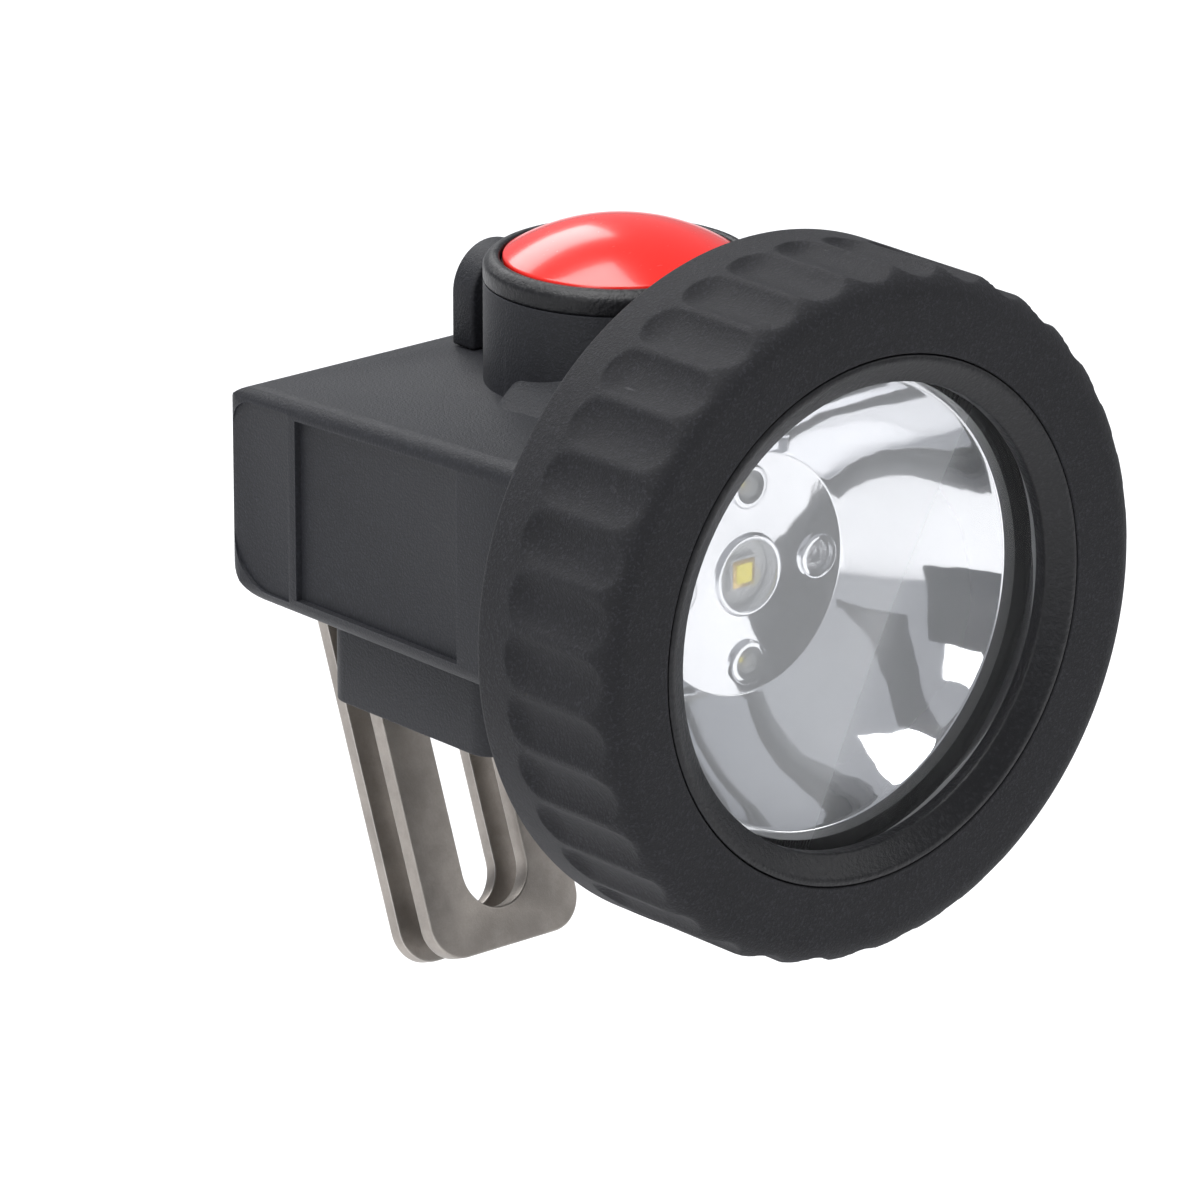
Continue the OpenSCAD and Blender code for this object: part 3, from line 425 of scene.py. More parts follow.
def white_ceramic(name):
    """White ceramic with a fine chalky grain, a little darker at its edges."""
    paint = Paint(name)
    chalk = paint.noise(0.18 * MM, 4, 0.7)
    edges = paint.edges(0.15 * MM)
    tone = paint.blend(chalk, (0.66, 0.67, 0.66), (0.82, 0.82, 0.80))
    tone = paint.blend(edges * 0.3, tone, (0.45, 0.45, 0.44))
    return paint.surface(Base_Color=tone, Roughness=0.35 + chalk * 0.2,
                         Normal=paint.bump(chalk, 0.01 * MM))


def circuit_mask(name, colour):
    """Solder mask over copper tracks, with bright pads."""
    paint = Paint(name)
    grid = paint.node("ShaderNodeTexBrick", {"offset": 0.37},
                      {"Vector": paint.place, "Scale": 1 / (9 * MM), "Color1": (0, 0, 0, 1),
                       "Color2": (0, 0, 0, 1), "Mortar": (1, 1, 1, 1), "Mortar Size": 0.05})
    pads = paint.node("ShaderNodeTexVoronoi", {"feature": "F1"},
                      {"Vector": paint.place, "Scale": 1 / (3 * MM)}).math("LESS_THAN", 0.13)
    mottle = paint.noise(0.7 * MM, 4)
    tone = paint.blend(mottle, lighter(colour, 0.8), lighter(colour, 1.2))
    tone = paint.blend(grid, tone, lighter(colour, 1.9))
    tone = paint.blend(pads, tone, (0.62, 0.61, 0.56))
    return paint.surface(Base_Color=tone, Roughness=0.3 + mottle * 0.15 - pads * 0.1, Metallic=pads,
                         Normal=paint.bump(pads + mottle * 0.2, 0.03 * MM, 0.6))


def turned_metal(name, colour, roughness=0.32):
    """Turned metal: fine lines around the beam axis, with dull patches."""
    paint = Paint(name)
    from_beam = paint.node("ShaderNodeMapping", None,
                           {"Vector": paint.place, "Location": (0, 0, -BEAM.z), "Scale": (1, 0, 1)})
    away = paint.node("ShaderNodeVectorMath", {"operation": "LENGTH"}, {0: from_beam}, 1)
    lines = (away * (2 * pi / (0.16 * MM))).math("SINE")
    dull = paint.noise(4 * MM, 5, 0.65)
    tone = paint.blend(dull, lighter(colour, 0.85), lighter(colour, 1.1))
    return paint.surface(Base_Color=tone, Metallic=1.0, Roughness=roughness + dull * 0.15,
                         Normal=paint.bump(lines, 0.006 * MM, 0.5))


def blasted_steel(name, colour):
    """Bead-blasted stainless steel with warm cloudy stains and bright rubbed edges."""
    paint = Paint(name)
    beads = paint.noise(0.22 * MM, 3, 0.7)
    stains = paint.noise(6 * MM, 6, 0.65)
    rubs = paint.noise(0.9 * MM, 5, 0.7, paint.stretched(1, 0.2, 0.2)).above(0.58, 0.7)
    edges = paint.edges(0.5 * MM)
    tone = paint.blend(stains.above(0.3, 0.7), lighter(colour, 0.8), lighter(colour, 1.15))
    tone = paint.blend(beads * 0.35, tone, lighter(colour, 0.6))
    tone = paint.blend(edges * 0.7, tone, (0.72, 0.70, 0.67))
    rough = 0.36 + beads * 0.14 + stains * 0.1 - edges * 0.16 - rubs * 0.08
    return paint.surface(Base_Color=tone, Metallic=1.0, Roughness=rough,
                         Normal=paint.bump(beads, 0.03 * MM, 0.7))


def drawn_metal(name, colour, roughness=0.28):
    """Plated or drawn metal with fine scratches."""
    paint = Paint(name)
    scratches = paint.noise(0.25 * MM, 4, 0.7, paint.stretched(0.15, 1, 1))
    tarnish = paint.noise(2.4 * MM, 5, 0.6)
    tone = paint.blend(tarnish, lighter(colour, 0.78), lighter(colour, 1.12))
    return paint.surface(Base_Color=tone, Metallic=1.0, Roughness=roughness + scratches * 0.18,
                         Normal=paint.bump(scratches, 0.008 * MM, 0.6))


def glossy_red(name, colour):
    """Glossy moulded plastic with orange peel, faint flow clouds and light scuffs."""
    paint = Paint(name)
    peel = paint.noise(1.5 * MM, 2, 0.4)
    clouds = paint.noise(8 * MM, 4)
    scuffs = paint.noise(0.7 * MM, 5, 0.75, paint.stretched(0.25, 1, 1)).above(0.62, 0.72)
    tone = paint.blend(clouds, lighter(colour, 0.9), lighter(colour, 1.08))
    return paint.surface(Base_Color=tone, Roughness=0.19 + scuffs * 0.14 + clouds * 0.04,
                         Normal=paint.bump(peel, 0.012 * MM, 0.35), Coat_Weight=0.35,
                         Coat_Roughness=0.08, Subsurface_Weight=0.05,
                         Subsurface_Radius=(2.0, 0.4, 0.2), Subsurface_Scale=0.6 * MM)


def shrink_sleeve(name, colour):
    """Shrink sleeve over a cell: fine wrinkles, with bare metal past its shrunk rim."""
    paint = Paint(name)
    half = span("battery_cells", 0)[1] - CELL_SLEEVE_RIM
    bare = paint.split("X").math("ABSOLUTE").above(half, half + 0.05 * MM)
    wrinkles = paint.noise(0.8 * MM, 4, 0.6, paint.stretched(0.2, 1, 1))
    tone = paint.blend(wrinkles, lighter(colour, 0.85), lighter(colour, 1.2))
    tone = paint.blend(bare, tone, (0.58, 0.57, 0.55))
    return paint.surface(Base_Color=tone, Metallic=bare, Roughness=0.28 + wrinkles * 0.12,
                         Normal=paint.bump(wrinkles, 0.02 * MM, 0.5))


def wire_sleeve(name, colour):
    """Insulated wire with faint extrusion lines."""
    paint = Paint(name)
    lines = paint.noise(0.3 * MM, 3, 0.6, paint.stretched(1, 0.1, 0.1))
    tone = paint.blend(lines, lighter(colour, 0.85), lighter(colour, 1.25))
    return paint.surface(Base_Color=tone, Roughness=0.34 + lines * 0.12,
                         Normal=paint.bump(lines, 0.01 * MM, 0.4))


def make_finishes():
    """One material for each slot of the record."""
    tones = colours()
    return {
        "housing_black": moulded_black("housing_black", tones.housing),
        "rubber_black": moulded_rubber("rubber_black", tones.rubber),
        "ring_black": moulded_black("ring_black", tones.ring, 0.34, 0.5 * MM),
        "seal_rubber": seal_rubber("seal_rubber"),
        "clear_lens": clear_plastic("clear_lens"),
        "mirror_cup": mirror_metal("mirror_cup"),
        "led_yellow": phosphor("led_yellow", tones.phosphor),
        "led_small": clear_plastic("led_small", (0.75, 0.77, 0.72), 0.5),
        "board_white": white_ceramic("board_white"),
        "sink_aluminium": turned_metal("sink_aluminium", (0.70, 0.71, 0.72)),
        "cell_wrap": shrink_sleeve("cell_wrap", tones.cell),
        "nickel": drawn_metal("nickel", (0.62, 0.60, 0.55)),
        "holder_grey": moulded_black("holder_grey", (0.10, 0.10, 0.11), 0.5, 0.4 * MM),
        "board_green": circuit_mask("board_green", (0.02, 0.16, 0.06)),
        "driver_black": moulded_black("driver_black", (0.03, 0.03, 0.035), 0.45, 0.2 * MM),
        "contact_gold": drawn_metal("contact_gold", (0.80, 0.58, 0.22), 0.2),
        "wire_red": wire_sleeve("wire_red", (0.50, 0.03, 0.02)),
        "wire_black": wire_sleeve("wire_black", (0.02, 0.02, 0.02)),
        "button_red": glossy_red("button_red", tones.button),
        "switch_black": moulded_black("switch_black", (0.04, 0.04, 0.04), 0.4, 0.2 * MM),
        "spring_steel": drawn_metal("spring_steel", (0.65, 0.66, 0.68)),
        "clip_steel": blasted_steel("clip_steel", tones.steel),
        "screw_steel": drawn_metal("screw_steel", (0.50, 0.50, 0.51)),
    }


FINISHES = {}


# ---------------------------------------- modelling

def rest():
    """Object mode with nothing selected."""
    if bpy.context.object and bpy.context.object.mode != "OBJECT":
        bpy.ops.object.mode_set(mode="OBJECT")
    bpy.ops.object.select_all(action="DESELECT")


def take(piece):
    """Selects one piece alone and makes it active."""
    rest()
    piece.select_set(True)
    bpy.context.view_layer.objects.active = piece


def settle(piece, slot, body, *nodes):
    """Gives a piece its finish and its body, and hides the CAD nodes that it stands for."""
    rest()
    piece.data.materials.clear()
    piece.data.materials.append(FINISHES[slot])
    if nodes:
        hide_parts(*nodes)
    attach(piece, body)
    return piece


def settle_as(piece, node):
    """Settles a piece that stands for one CAD node, with that node's slot and body."""
    return settle(piece, SLOTS[node], BODIES[node], node)


def finish_modifier(piece, kind, **settings):
    """Adds a modifier with its settings and applies it."""
    take(piece)
    modifier = piece.modifiers.new("finish", kind)
    for key, value in settings.items():
        setattr(modifier, key, value)
    bpy.ops.object.modifier_apply(modifier=modifier.name)


def shade(piece, degrees_smooth=35):
    """Smooth shading up to an angle."""
    take(piece)
    bpy.ops.object.shade_smooth_by_angle(angle=radians(degrees_smooth))


def softened(node, edge, segments=3):
    """A copy of a CAD node, merged into whole faces, with its edges rounded."""
    take(frame["nodes"][node])
    bpy.ops.object.duplicate()
    piece = bpy.context.object
    piece.parent = None
    piece.name = node + "_piece"
    for key in list(piece.keys()):
        del piece[key]
    take(piece)
    bpy.ops.object.mode_set(mode="EDIT")
    bpy.ops.mesh.select_all(action="SELECT")
    bpy.ops.mesh.remove_doubles(threshold=0.002 * MM)
    bpy.ops.mesh.customdata_custom_splitnormals_clear()
    bpy.ops.mesh.dissolve_limited(angle_limit=radians(0.6), use_dissolve_boundaries=False)
    finish_modifier(piece, "BEVEL", width=edge, segments=segments, limit_method="ANGLE",
                    angle_limit=radians(30), use_clamp_overlap=True)
    shade(piece)
    return piece


def filleted(corners, steps=6):
    """Points of a closed outline from its corners, each a radius, a station and a fillet."""
    points = []
    for index, (radius, station, fillet) in enumerate(corners):
        here = Vector((radius, station))
        if fillet == 0:
            points.append(here)
            continue
        before = (Vector(corners[index - 1][:2]) - here).normalized()
        after = (Vector(corners[(index + 1) % len(corners)][:2]) - here).normalized()
        half = before.angle(after) / 2
        centre = here + (before + after).normalized() * (fillet / sin(half))
        start = here + before * (fillet / tan(half)) - centre
        end = here + after * (fillet / tan(half)) - centre
        for step in range(steps + 1):
            points.append(centre + start.slerp(end, step / steps).normalized() * fillet)
    return points


def turned(name, points, centre, upright=False, sides=160, closed=True):
    """A shape turned from its outline by extruding and resizing one ring, point after point.
    The outline is a list of radii and stations from centre, along +Y or, if upright, along +Z.
    A closed outline ends where it starts, and an open one has a flat start and a pointed end."""
    rest()
    along = Vector((0, 0, 1)) if upright else Vector((0, 1, 0))
    radius, station = points[0]
    bpy.ops.mesh.primitive_circle_add(
        vertices=sides, radius=radius, fill_type="NOTHING" if closed else "NGON",
        location=centre + along * station, rotation=(0, 0, 0) if upright else (radians(-90), 0, 0))
    piece = bpy.context.object
    piece.name = name
    bpy.ops.object.transform_apply(location=True, rotation=True, scale=True)
    bpy.ops.object.mode_set(mode="EDIT")
    bpy.ops.mesh.select_mode(type="EDGE")
    bpy.ops.mesh.select_all(action="SELECT")
    for next_radius, next_station in points[1:] + (points[:1] if closed else []):
        step = along * (next_station - station)
        growth = next_radius / radius
        bpy.ops.mesh.extrude_edges_move(TRANSFORM_OT_translate={"value": step})
        bpy.ops.transform.resize(value=(growth, growth, 1) if upright else (growth, 1, growth),
                                 center_override=centre)
        radius, station = next_radius, next_station
    bpy.ops.mesh.select_mode(type="VERT")
    bpy.ops.mesh.select_all(action="SELECT")
    bpy.ops.mesh.remove_doubles(threshold=0.004 * MM)
    bpy.ops.mesh.normals_make_consistent(inside=False)
    bpy.ops.object.mode_set(mode="OBJECT")
    return piece


def joined(pieces):
    """Several pieces made into the first one."""
    rest()
    for piece in pieces:
        piece.select_set(True)
    bpy.context.view_layer.objects.active = pieces[0]
    bpy.ops.object.join()
    return pieces[0]


def combined(piece, tool, operation):
    """A piece with a tool added to it or cut from it, after which the tool is gone."""
    finish_modifier(piece, "BOOLEAN", object=tool, operation=operation, solver="EXACT")
    take(tool)
    bpy.ops.object.delete()
    return piece


# ---------------------------------------- operators, one for each group of pieces

class PieceOperator(bpy.types.Operator):
    """Makes some of the lamp's pieces."""
    bl_options = {"REGISTER"}

    def execute(self, context):
        self.make()
        rest()
        return {"FINISHED"}


class CAPLAMP_OT_finishes(PieceOperator):
    """Makes one material for each finish of the lamp"""
    bl_idname = "cap_lamp.finishes"
    bl_label = "Make finishes"

    def make(self):
        FINISHES.update(make_finishes())


class CAPLAMP_OT_moulded_shells(PieceOperator):
    """Rounds the edges of the housing, base cover, clip block, eye, collar and bezel ring"""
    bl_idname = "cap_lamp.moulded_shells"
    bl_label = "Make moulded shells"

    def make(self):
        edge = sizes().moulded_edge
        for node, factor in (("housing", 0.9), ("base_cover", 1.1), ("clip_block", 1.5),
                             ("lanyard_eye", 1.8), ("button_collar", 0.8), ("bezel_ring", 0.9)):
            settle_as(softened(node, edge * factor), node)


class CAPLAMP_OT_grip(PieceOperator):
    """Turns the rubber grip and presses its flutes in"""
    bl_idname = "cap_lamp.grip"
    bl_label = "Make rubber grip"

    def make(self):
        size = sizes()
        inner = span("bezel_ring", 0)[1] + GRIP_GAP
        outline = filleted([
            (GRIP_MOUTH_R, 0, 0.25 * MM),
            (GRIP_R, 0, size.front_edge),
            *[(GRIP_R, row * MM, 0) for row in FLUTE_ROWS],
            (GRIP_R, GRIP_DEPTH, 0.7 * MM),
            (inner, GRIP_DEPTH, 0.2 * MM),
            (inner, GRIP_WEB, 0),
            (GRIP_MOUTH_R, GRIP_WEB, 0)], 9)
        grip = turned("grip", outline, BEAM, sides=20 * size.flute_count)
        self.press_flutes(grip, size)
        shade(grip, 60)
        settle_as(grip, "bezel_grip")

    def press_flutes(self, grip, size):
        """Draws each flute's points in towards the axis, to the round of a cutter beside it."""
        pitch = 2 * pi / size.flute_count
        width = 2 * GRIP_R * sin(pitch / 2) * size.flute_fill
        cutter = ((width / 2) ** 2 + size.flute_depth ** 2) / (2 * size.flute_depth)
        cutter_out = GRIP_R + cutter - size.flute_depth
        groups = {}
        for vertex in grip.data.vertices:
            across, station, up = vertex.co - BEAM
            reach = hypot(across, up)
            turn = (atan2(up, across) - size.ridge_angle) % pitch - pitch / 2
            tail = max(0, station - size.flute_end + size.flute_run_out) / size.flute_run_out
            depth_left = max(0, 1 - tail ** 3)
            round_r = cutter - size.flute_depth * (1 - depth_left)
            under = round_r ** 2 - (cutter_out * sin(turn)) ** 2
            if under <= 0 or depth_left == 0:
                continue
            target = cutter_out * cos(turn) - sqrt(under)
            outside = reach > GRIP_R - size.front_edge and station < size.flute_end
            if target < reach - 0.001 * MM and outside:
                groups.setdefault(round(target / reach, 6), []).append(vertex.index)
        take(grip)
        bpy.ops.object.mode_set(mode="EDIT")
        bpy.ops.mesh.select_all(action="DESELECT")
        for factor, members in groups.items():
            mesh = bmesh.from_edit_mesh(grip.data)
            mesh.verts.ensure_lookup_table()
            for index in members:
                mesh.verts[index].select = True
            bpy.ops.transform.resize(value=(factor, 1, factor), center_override=BEAM)
            for index in members:
                mesh.verts[index].select = False
        bpy.ops.object.mode_set(mode="OBJECT")


class CAPLAMP_OT_clip(PieceOperator):
    """Rounds the edges of the steel clip's leaves and its spacer"""
    bl_idname = "cap_lamp.clip"
    bl_label = "Make steel clip"

    def make(self):
        for node in ("clip_plate", "clip_tongue", "clip_spacer"):
            settle_as(softened(node, sizes().steel_edge), node)


class CAPLAMP_OT_lens(PieceOperator):
    """Makes the clear front lens with its polished edges"""
    bl_idname = "cap_lamp.lens"
    bl_label = "Make lens"

    def make(self):
        settle_as(softened("lens", 0.25 * MM), "lens")


class CAPLAMP_OT_mirror_cup(PieceOperator):
    """Turns the mirror cup with its raised LED ring, and sinks its small wells"""
    bl_idname = "cap_lamp.mirror_cup"
    bl_label = "Make mirror cup"

    def make(self):
        size = sizes()
        wall = size.cup_wall
        floor = CUP_BACK - wall
        depth = floor - CUP_RIM
        ring_h = 0.5 * MM
        ring_w = 0.6 * MM
        steps = 28

        def side(share):
            straight = size.cup_mouth_r + (size.cup_base_r - size.cup_mouth_r) * share
            return straight + size.cup_hollow * sin(pi * share)

        mirror = [(side(i / steps), CUP_RIM + depth * i / steps, 0) for i in range(1, steps)]
        back = [(side(i / steps) + wall, CUP_RIM + depth * i / steps, 0)
                for i in range(steps - 1, 2, -4)]
        hole = size.led_hole_r
        outline = filleted([
            (CUP_FLANGE_R, CUP_RIM, 0.15 * MM),
            (size.cup_mouth_r, CUP_RIM, 0.3 * MM),
            *mirror,
            (size.cup_base_r, floor, 0.25 * MM),
            (hole + ring_w, floor, 0.12 * MM),
            (hole + ring_w, floor - ring_h, 0.2 * MM),
            (hole, floor - ring_h, 0.2 * MM),
            (hole, CUP_BACK, 0),
            (size.cup_base_r + wall, CUP_BACK, 0.3 * MM),
            *back,
            (side(2 / steps) + wall, CUP_RIM + wall, 0),
            (CUP_FLANGE_R, CUP_RIM + wall, 0.15 * MM)], 5)
        cup = turned("mirror_cup", outline, BEAM, sides=256)
        rims, drills = [], []
        for quarter in range(4):
            place = Vector((cos(quarter * pi / 2), 0, sin(quarter * pi / 2))) * size.well_pitch_r
            rims.append(self.tube(BEAM + place, size.well_r + ring_w, size.well_r - 0.3 * MM,
                                  floor - ring_h, floor + 0.4 * MM))
            drills.append(self.plug(BEAM + place, size.well_r, floor - 2 * MM, CUP_BACK + 1 * MM))
        cup = combined(cup, joined(rims), "UNION")
        cup = combined(cup, joined(drills), "DIFFERENCE")
        shade(cup, 30)
        settle_as(cup, "reflector")

    def tube(self, place, outer, inner, front, back):
        """A short tube along the beam with a rounded front."""
        outline = filleted([(outer, front, 0.2 * MM), (inner, front, 0), (inner, back, 0),
                            (outer, back, 0)], 4)
        return turned("rim", outline, place, sides=48)

    def plug(self, place, radius, front, back):
        """A drill that leaves a straight round hole."""
        outline = [(radius, front), (radius, back), (radius / 500, back)]
        return turned("drill", outline, place, sides=48, closed=False)


class CAPLAMP_OT_main_led(PieceOperator):
    """Makes the main LED: ceramic package, phosphor, bond frame and clear dome"""
    bl_idname = "cap_lamp.main_led"
    bl_label = "Make main LED"

    def make(self):
        top = LED_BACK - LED_BASE_T
        package = self.slab("led_package", LED_SIDE * LED_PACKAGE_SHARE, top, LED_BACK, 0.12 * MM)
        settle(package, "board_white", BODIES["main_led"], "main_led")
        frame_plate = self.slab("led_frame", LED_SIDE * LED_FRAME_SHARE, top - 0.06 * MM,
                                top + 0.05 * MM, 0.02 * MM)
        settle(frame_plate, "contact_gold", BODIES["main_led"])
        die = self.slab("led_phosphor", LED_SIDE * LED_PHOSPHOR_SHARE,
                        top - 0.06 * MM - LED_DIE_T, top, 0.03 * MM)
        settle(die, "led_yellow", BODIES["main_led"])
        self.make_dome(top)

    def slab(self, name, side, front, back, edge):
        """A square plate across the beam with rounded edges."""
        rest()
        bpy.ops.mesh.primitive_cube_add(size=1, location=(0, (front + back) / 2, BEAM.z))
        plate = bpy.context.object
        plate.name = name
        plate.scale = (side, back - front, side)
        bpy.ops.object.transform_apply(location=True, rotation=True, scale=True)
        finish_modifier(plate, "BEVEL", width=edge, segments=3)
        shade(plate)
        return plate

    def make_dome(self, seat):
        """The silicone dome over the phosphor, with its square foot."""
        radius = LED_SIDE * LED_DOME_SHARE
        front = LED_FRONT - seat
        points = [(radius * 1.08, 0), (radius * 1.04, -0.08 * MM)]
        steps = 12
        for step in range(steps + 1):
            angle = pi / 2 * step / steps
            points.append((max(radius * cos(angle), radius / 500),
                           -DOME_FOOT + (front + DOME_FOOT) * sin(angle)))
        dome = turned("led_dome", points, Vector((0, seat, BEAM.z)), sides=64, closed=False)
        shade(dome, 60)
        settle(dome, "clear_lens", BODIES["main_led"])


class CAPLAMP_OT_small_leds(PieceOperator):
    """Makes the two small LEDs: clear bulbs with a rim, a cup and a chip inside"""
    bl_idname = "cap_lamp.small_leds"
    bl_label = "Make small LEDs"

    def make(self):
        low, high = BULBS
        radius = high.x
        front = low.y
        depth = high.y - front
        bulbs, cups, chips = [], [], []
        for middle in (low.z + radius, high.z - radius):
            place = Vector((0, front, middle))
            dome = [(max(radius * cos(a), radius / 500), radius * (1 - sin(a)))
                    for a in [pi / 2 * i / 12 for i in range(13)]]
            bulbs.append(turned("bulb", [(radius, depth), (radius, depth * 0.8)] + dome, place,
                                sides=48, closed=False))
            cup = filleted([(radius * 0.72, radius * 0.95, 0.05 * MM),
                            (radius * 0.6, radius * 0.95, 0),
                            (radius * 0.3, radius * 1.5, 0), (radius * 0.02, radius * 1.52, 0),
                            (radius * 0.02, depth * 0.98, 0), (radius * 0.72, depth * 0.98, 0)], 3)
            cups.append(turned("cup", cup, place, sides=32))
            chip = [(radius * 0.2, radius * 1.52), (radius * 0.2, radius * 1.35),
                    (radius * 0.01, radius * 1.35)]
            chips.append(turned("chip", chip, place, sides=24, closed=False))
        bulbs[0].name = "small_led_bulbs"
        cups[0].name = "small_led_cups"
        chips[0].name = "small_led_chips"
        for group, slot, nodes in ((bulbs, "led_small", ("aux_leds",)), (cups, "nickel", ()),
                                   (chips, "led_yellow", ())):
            piece = joined(group)
            shade(piece, 50)
            settle(piece, slot, BODIES["aux_leds"], *nodes)


class CAPLAMP_OT_button(PieceOperator):
    """Turns the domed button with its skirt, flange, seal groove and stem"""
    bl_idname = "cap_lamp.button"
    bl_label = "Make button"

    def make(self):
        size = sizes()
        radius = size.button_r
        dome = BUTTON_HIGH.z - TURRET.z
        dome_r = (radius ** 2 + dome ** 2) / (2 * dome)
        flange_top = span("button_collar", 2)[0] - BUTTON_FLANGE_GAP - TURRET.z
        flange_bottom = flange_top - BUTTON_FLANGE_T
        web = flange_top + BUTTON_WEB_LIFT
        stem = BUTTON_LOW.z - TURRET.z
        hollow = radius - BUTTON_WALL
        rise = [(dome_r * sin(a), dome - dome_r * (1 - cos(a)), 0)
                for a in [radians(BUTTON_DOME_TURN * (1 - i / BUTTON_DOME_STEPS))
                          for i in range(BUTTON_DOME_STEPS)]]
        outline = filleted([
            (STEM_R, stem, 0.3 * MM),
            (STEM_R, web, 0.4 * MM),
            (hollow, web, 0.4 * MM),
            (hollow, flange_bottom, 0.15 * MM),
            (BUTTON_FLANGE_R, flange_bottom, 0.15 * MM),
            (BUTTON_FLANGE_R, flange_top, 0.15 * MM),
            (radius, flange_top, 0),
            (radius, GROOVE_LOW, 0),
            (GROOVE_R, GROOVE_LOW, 0),
            (GROOVE_R, GROOVE_HIGH, 0),
            (radius, GROOVE_HIGH, 0),
            (radius, 0, 0.45 * MM),
            *rise,
            (dome_r / 5000, dome, 0)], 5)
        outline[0:1] = [Vector((STEM_R * 0.8, stem)), outline[0]]
        button = turned("red_button", outline, TURRET, upright=True, sides=192, closed=False)
        shade(button, 40)
        settle_as(button, "button")


class CAPLAMP_OT_screws(PieceOperator):
    """Rounds the edges of the screws and charging contacts"""
    bl_idname = "cap_lamp.screws"
    bl_label = "Make screws and contacts"

    def make(self):
        for node in ("clip_screws", "cover_screws", "reflector_screws", "block_screws",
                     "charge_contacts"):
            settle_as(softened(node, 0.1 * MM, 2), node)


class CAPLAMP_OT_inside(PieceOperator):
    """Rounds the cells, boards and other inner pieces, and finishes the CAD nodes that stay"""
    bl_idname = "cap_lamp.inside"
    bl_label = "Make inside"

    def make(self):
        for node, edge in (("battery_cells", 0.25), ("cell_holders", 0.3), ("heat_sink", 0.2),
                           ("driver_parts", 0.15), ("tact_switch", 0.12), ("led_board", 0.12),
                           ("control_board", 0.12), ("switch_board", 0.12)):
            settle_as(softened(node, edge * MM, 2), node)
        for node, piece in frame["nodes"].items():
            piece.data.materials.clear()
            piece.data.materials.append(FINISHES[SLOTS[node]])


class CAPLAMP_OT_stage(PieceOperator):
    """Makes the pale floor, the soft lights and the camera"""
    bl_idname = "cap_lamp.stage"
    bl_label = "Make stage"

    def make(self):
        low, high = Vector(CAD_BOX[0]), Vector(CAD_BOX[1])
        middle = (low + high) / 2
        self.make_floor(low.z - FLOOR_DROP)
        self.make_world()
        for name, place, power, width, height in (
                ("top_softbox", (-0.25, 0.05, 1.1), 19, 1.1, 0.9),
                ("left_softbox", (-1.3, -0.5, 0.5), 5, 0.5, 1.0),
                ("right_softbox", (1.2, -0.9, 0.7), 4.5, 0.45, 1.0),
                ("rear_softbox", (0.3, 1.3, 0.9), 9, 1.2, 0.6)):
            self.add_light(name, Vector(place), middle, power, width, height)
        for name, place, width, height in (
                ("left_flag", (-0.42, -0.25, -0.02), 0.17, 0.5),
                ("front_flag", (0.36, -0.55, -0.08), 0.6, 0.4),
                ("left_high_flag", (-0.42, -0.5, 0.5), 0.16, 0.7),
                ("top_flag", (0.42, -0.25, 0.7), 0.14, 0.7)):
            self.add_flag(name, Vector(place), middle, width, height)
        self.add_camera(CAMERA_PLACE, middle)

    def make_floor(self, height):
        """A wide pale floor well below the hanging lamp."""
        rest()
        bpy.ops.mesh.primitive_grid_add(x_subdivisions=4, y_subdivisions=4, size=12,
                                        location=(0, 0, height))
        floor = bpy.context.object
        floor.name = "floor"
        bpy.ops.object.transform_apply(location=True, rotation=True, scale=True)
        paint = Paint("floor_paint")
        clouds = paint.noise(300 * MM, 3)
        pale = colours().floor
        tone = paint.blend(clouds, lighter(pale, 0.985), pale)
        floor.data.materials.append(paint.surface(Base_Color=tone, Roughness=0.7 + clouds * 0.1))

    def make_world(self):
        """Even, slightly blue surroundings, and the view transform."""
        world = bpy.data.worlds.new("studio")
        world.use_nodes = True
        bpy.context.scene.world = world
        background = world.node_tree.nodes["Background"]
        background.inputs["Color"].default_value = (*WORLD_TINT, 1)
        background.inputs["Strength"].default_value = WORLD_STRENGTH
        bpy.context.scene.view_settings.view_transform = "Standard"

    def add_light(self, name, place, target, power, width, height):
        """One rectangular softbox aimed at the lamp."""
        light = bpy.data.lights.new(name, "AREA")
        light.shape = "RECTANGLE"
        light.energy = power
        light.size = width
        light.size_y = height
        lamp = bpy.data.objects.new(name, light)
        lamp.location = place
        lamp.rotation_euler = (target - place).to_track_quat("-Z", "Y").to_euler()
        bpy.context.scene.collection.objects.link(lamp)

    def add_flag(self, name, place, target, width, height):
        """One dark card that only shows in reflections."""
        rest()
        bpy.ops.mesh.primitive_grid_add(x_subdivisions=2, y_subdivisions=2, size=1)
        card = bpy.context.object
        card.name = name
        card.scale = (width, height, 1)
        card.rotation_euler = (target - place).to_track_quat("Z", "Y").to_euler()
        card.location = place
        for rays in ("camera", "diffuse", "shadow", "transmission"):
            setattr(card, "visible_" + rays, False)
        paint = Paint(name + "_cloth")
        felt = paint.noise(8 * MM, 3)
        tone = paint.blend(felt, (0.004, 0.004, 0.004), (0.010, 0.010, 0.011))
        card.data.materials.append(paint.surface(Base_Color=tone, Roughness=0.9 + felt * 0.1))

    def add_camera(self, place, target):
        """A long lens from the front left, a little above the lamp."""
        camera = bpy.data.cameras.new("camera")
        camera.lens = CAMERA_LENS
        camera.clip_start = 0.01
        holder = bpy.data.objects.new("camera", camera)
        holder.location = place
        holder.rotation_euler = (target - place).to_track_quat("-Z", "Y").to_euler()
        bpy.context.scene.collection.objects.link(holder)
        bpy.context.scene.camera = holder


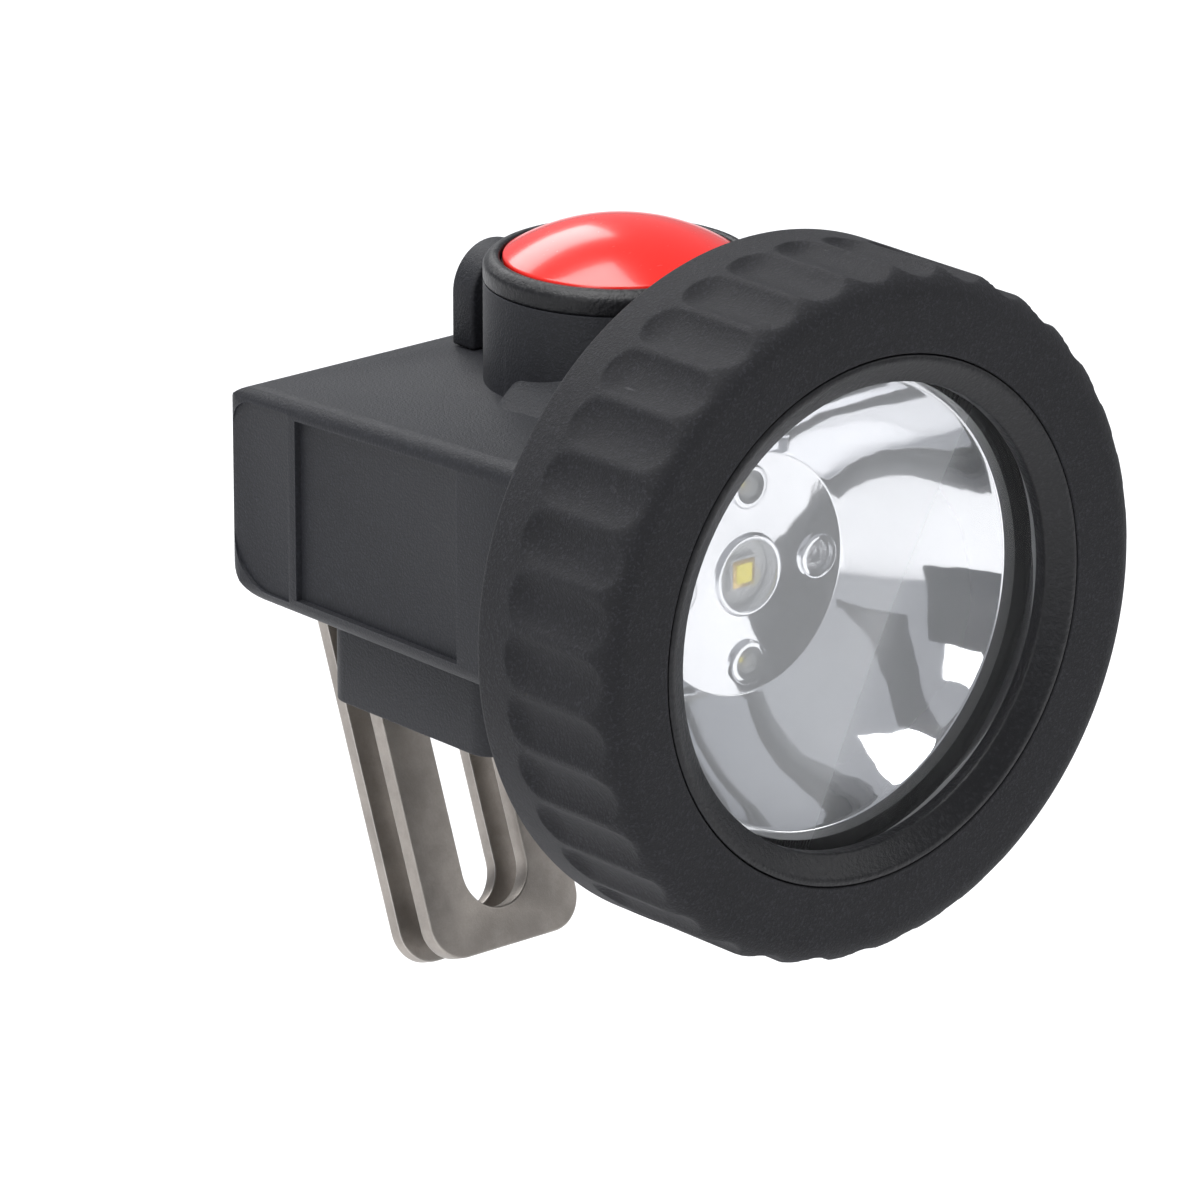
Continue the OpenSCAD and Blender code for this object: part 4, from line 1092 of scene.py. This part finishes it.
# ---------------------------------------- panel and registration

STEPS = (CAPLAMP_OT_finishes, CAPLAMP_OT_stage, CAPLAMP_OT_moulded_shells, CAPLAMP_OT_grip,
         CAPLAMP_OT_clip, CAPLAMP_OT_lens, CAPLAMP_OT_mirror_cup, CAPLAMP_OT_main_led,
         CAPLAMP_OT_small_leds, CAPLAMP_OT_button, CAPLAMP_OT_screws, CAPLAMP_OT_inside)


class CAPLAMP_PT_panel(bpy.types.Panel):
    """Lists the steps that build the lamp"""
    bl_idname = "CAPLAMP_PT_panel"
    bl_label = "Cap lamp"
    bl_space_type = "VIEW_3D"
    bl_region_type = "UI"
    bl_category = "Cap lamp"

    def draw(self, context):
        for step in STEPS:
            self.layout.operator(step.bl_idname)
        for group in (context.scene.cap_lamp_sizes, context.scene.cap_lamp_colours):
            box = self.layout.box()
            for name in group.__annotations__:
                box.prop(group, name)


CLASSES = (CapLampSizes, CapLampColours, *STEPS, CAPLAMP_PT_panel)


def register():
    """Registers the classes and hangs the settings on the scene."""
    for cls in CLASSES:
        bpy.utils.register_class(cls)
    bpy.types.Scene.cap_lamp_sizes = bpy.props.PointerProperty(type=CapLampSizes)
    bpy.types.Scene.cap_lamp_colours = bpy.props.PointerProperty(type=CapLampColours)


def unregister():
    """Takes the settings and the classes away again."""
    del bpy.types.Scene.cap_lamp_colours
    del bpy.types.Scene.cap_lamp_sizes
    for cls in reversed(CLASSES):
        bpy.utils.unregister_class(cls)


def main():
    """Builds the lamp and its stage."""
    register()
    bpy.ops.cap_lamp.finishes()
    bpy.ops.cap_lamp.stage()
    bpy.ops.cap_lamp.moulded_shells()
    bpy.ops.cap_lamp.grip()
    bpy.ops.cap_lamp.clip()
    bpy.ops.cap_lamp.lens()
    bpy.ops.cap_lamp.mirror_cup()
    bpy.ops.cap_lamp.main_led()
    bpy.ops.cap_lamp.small_leds()
    bpy.ops.cap_lamp.button()
    bpy.ops.cap_lamp.screws()
    bpy.ops.cap_lamp.inside()


if __name__ == "__main__":
    main()
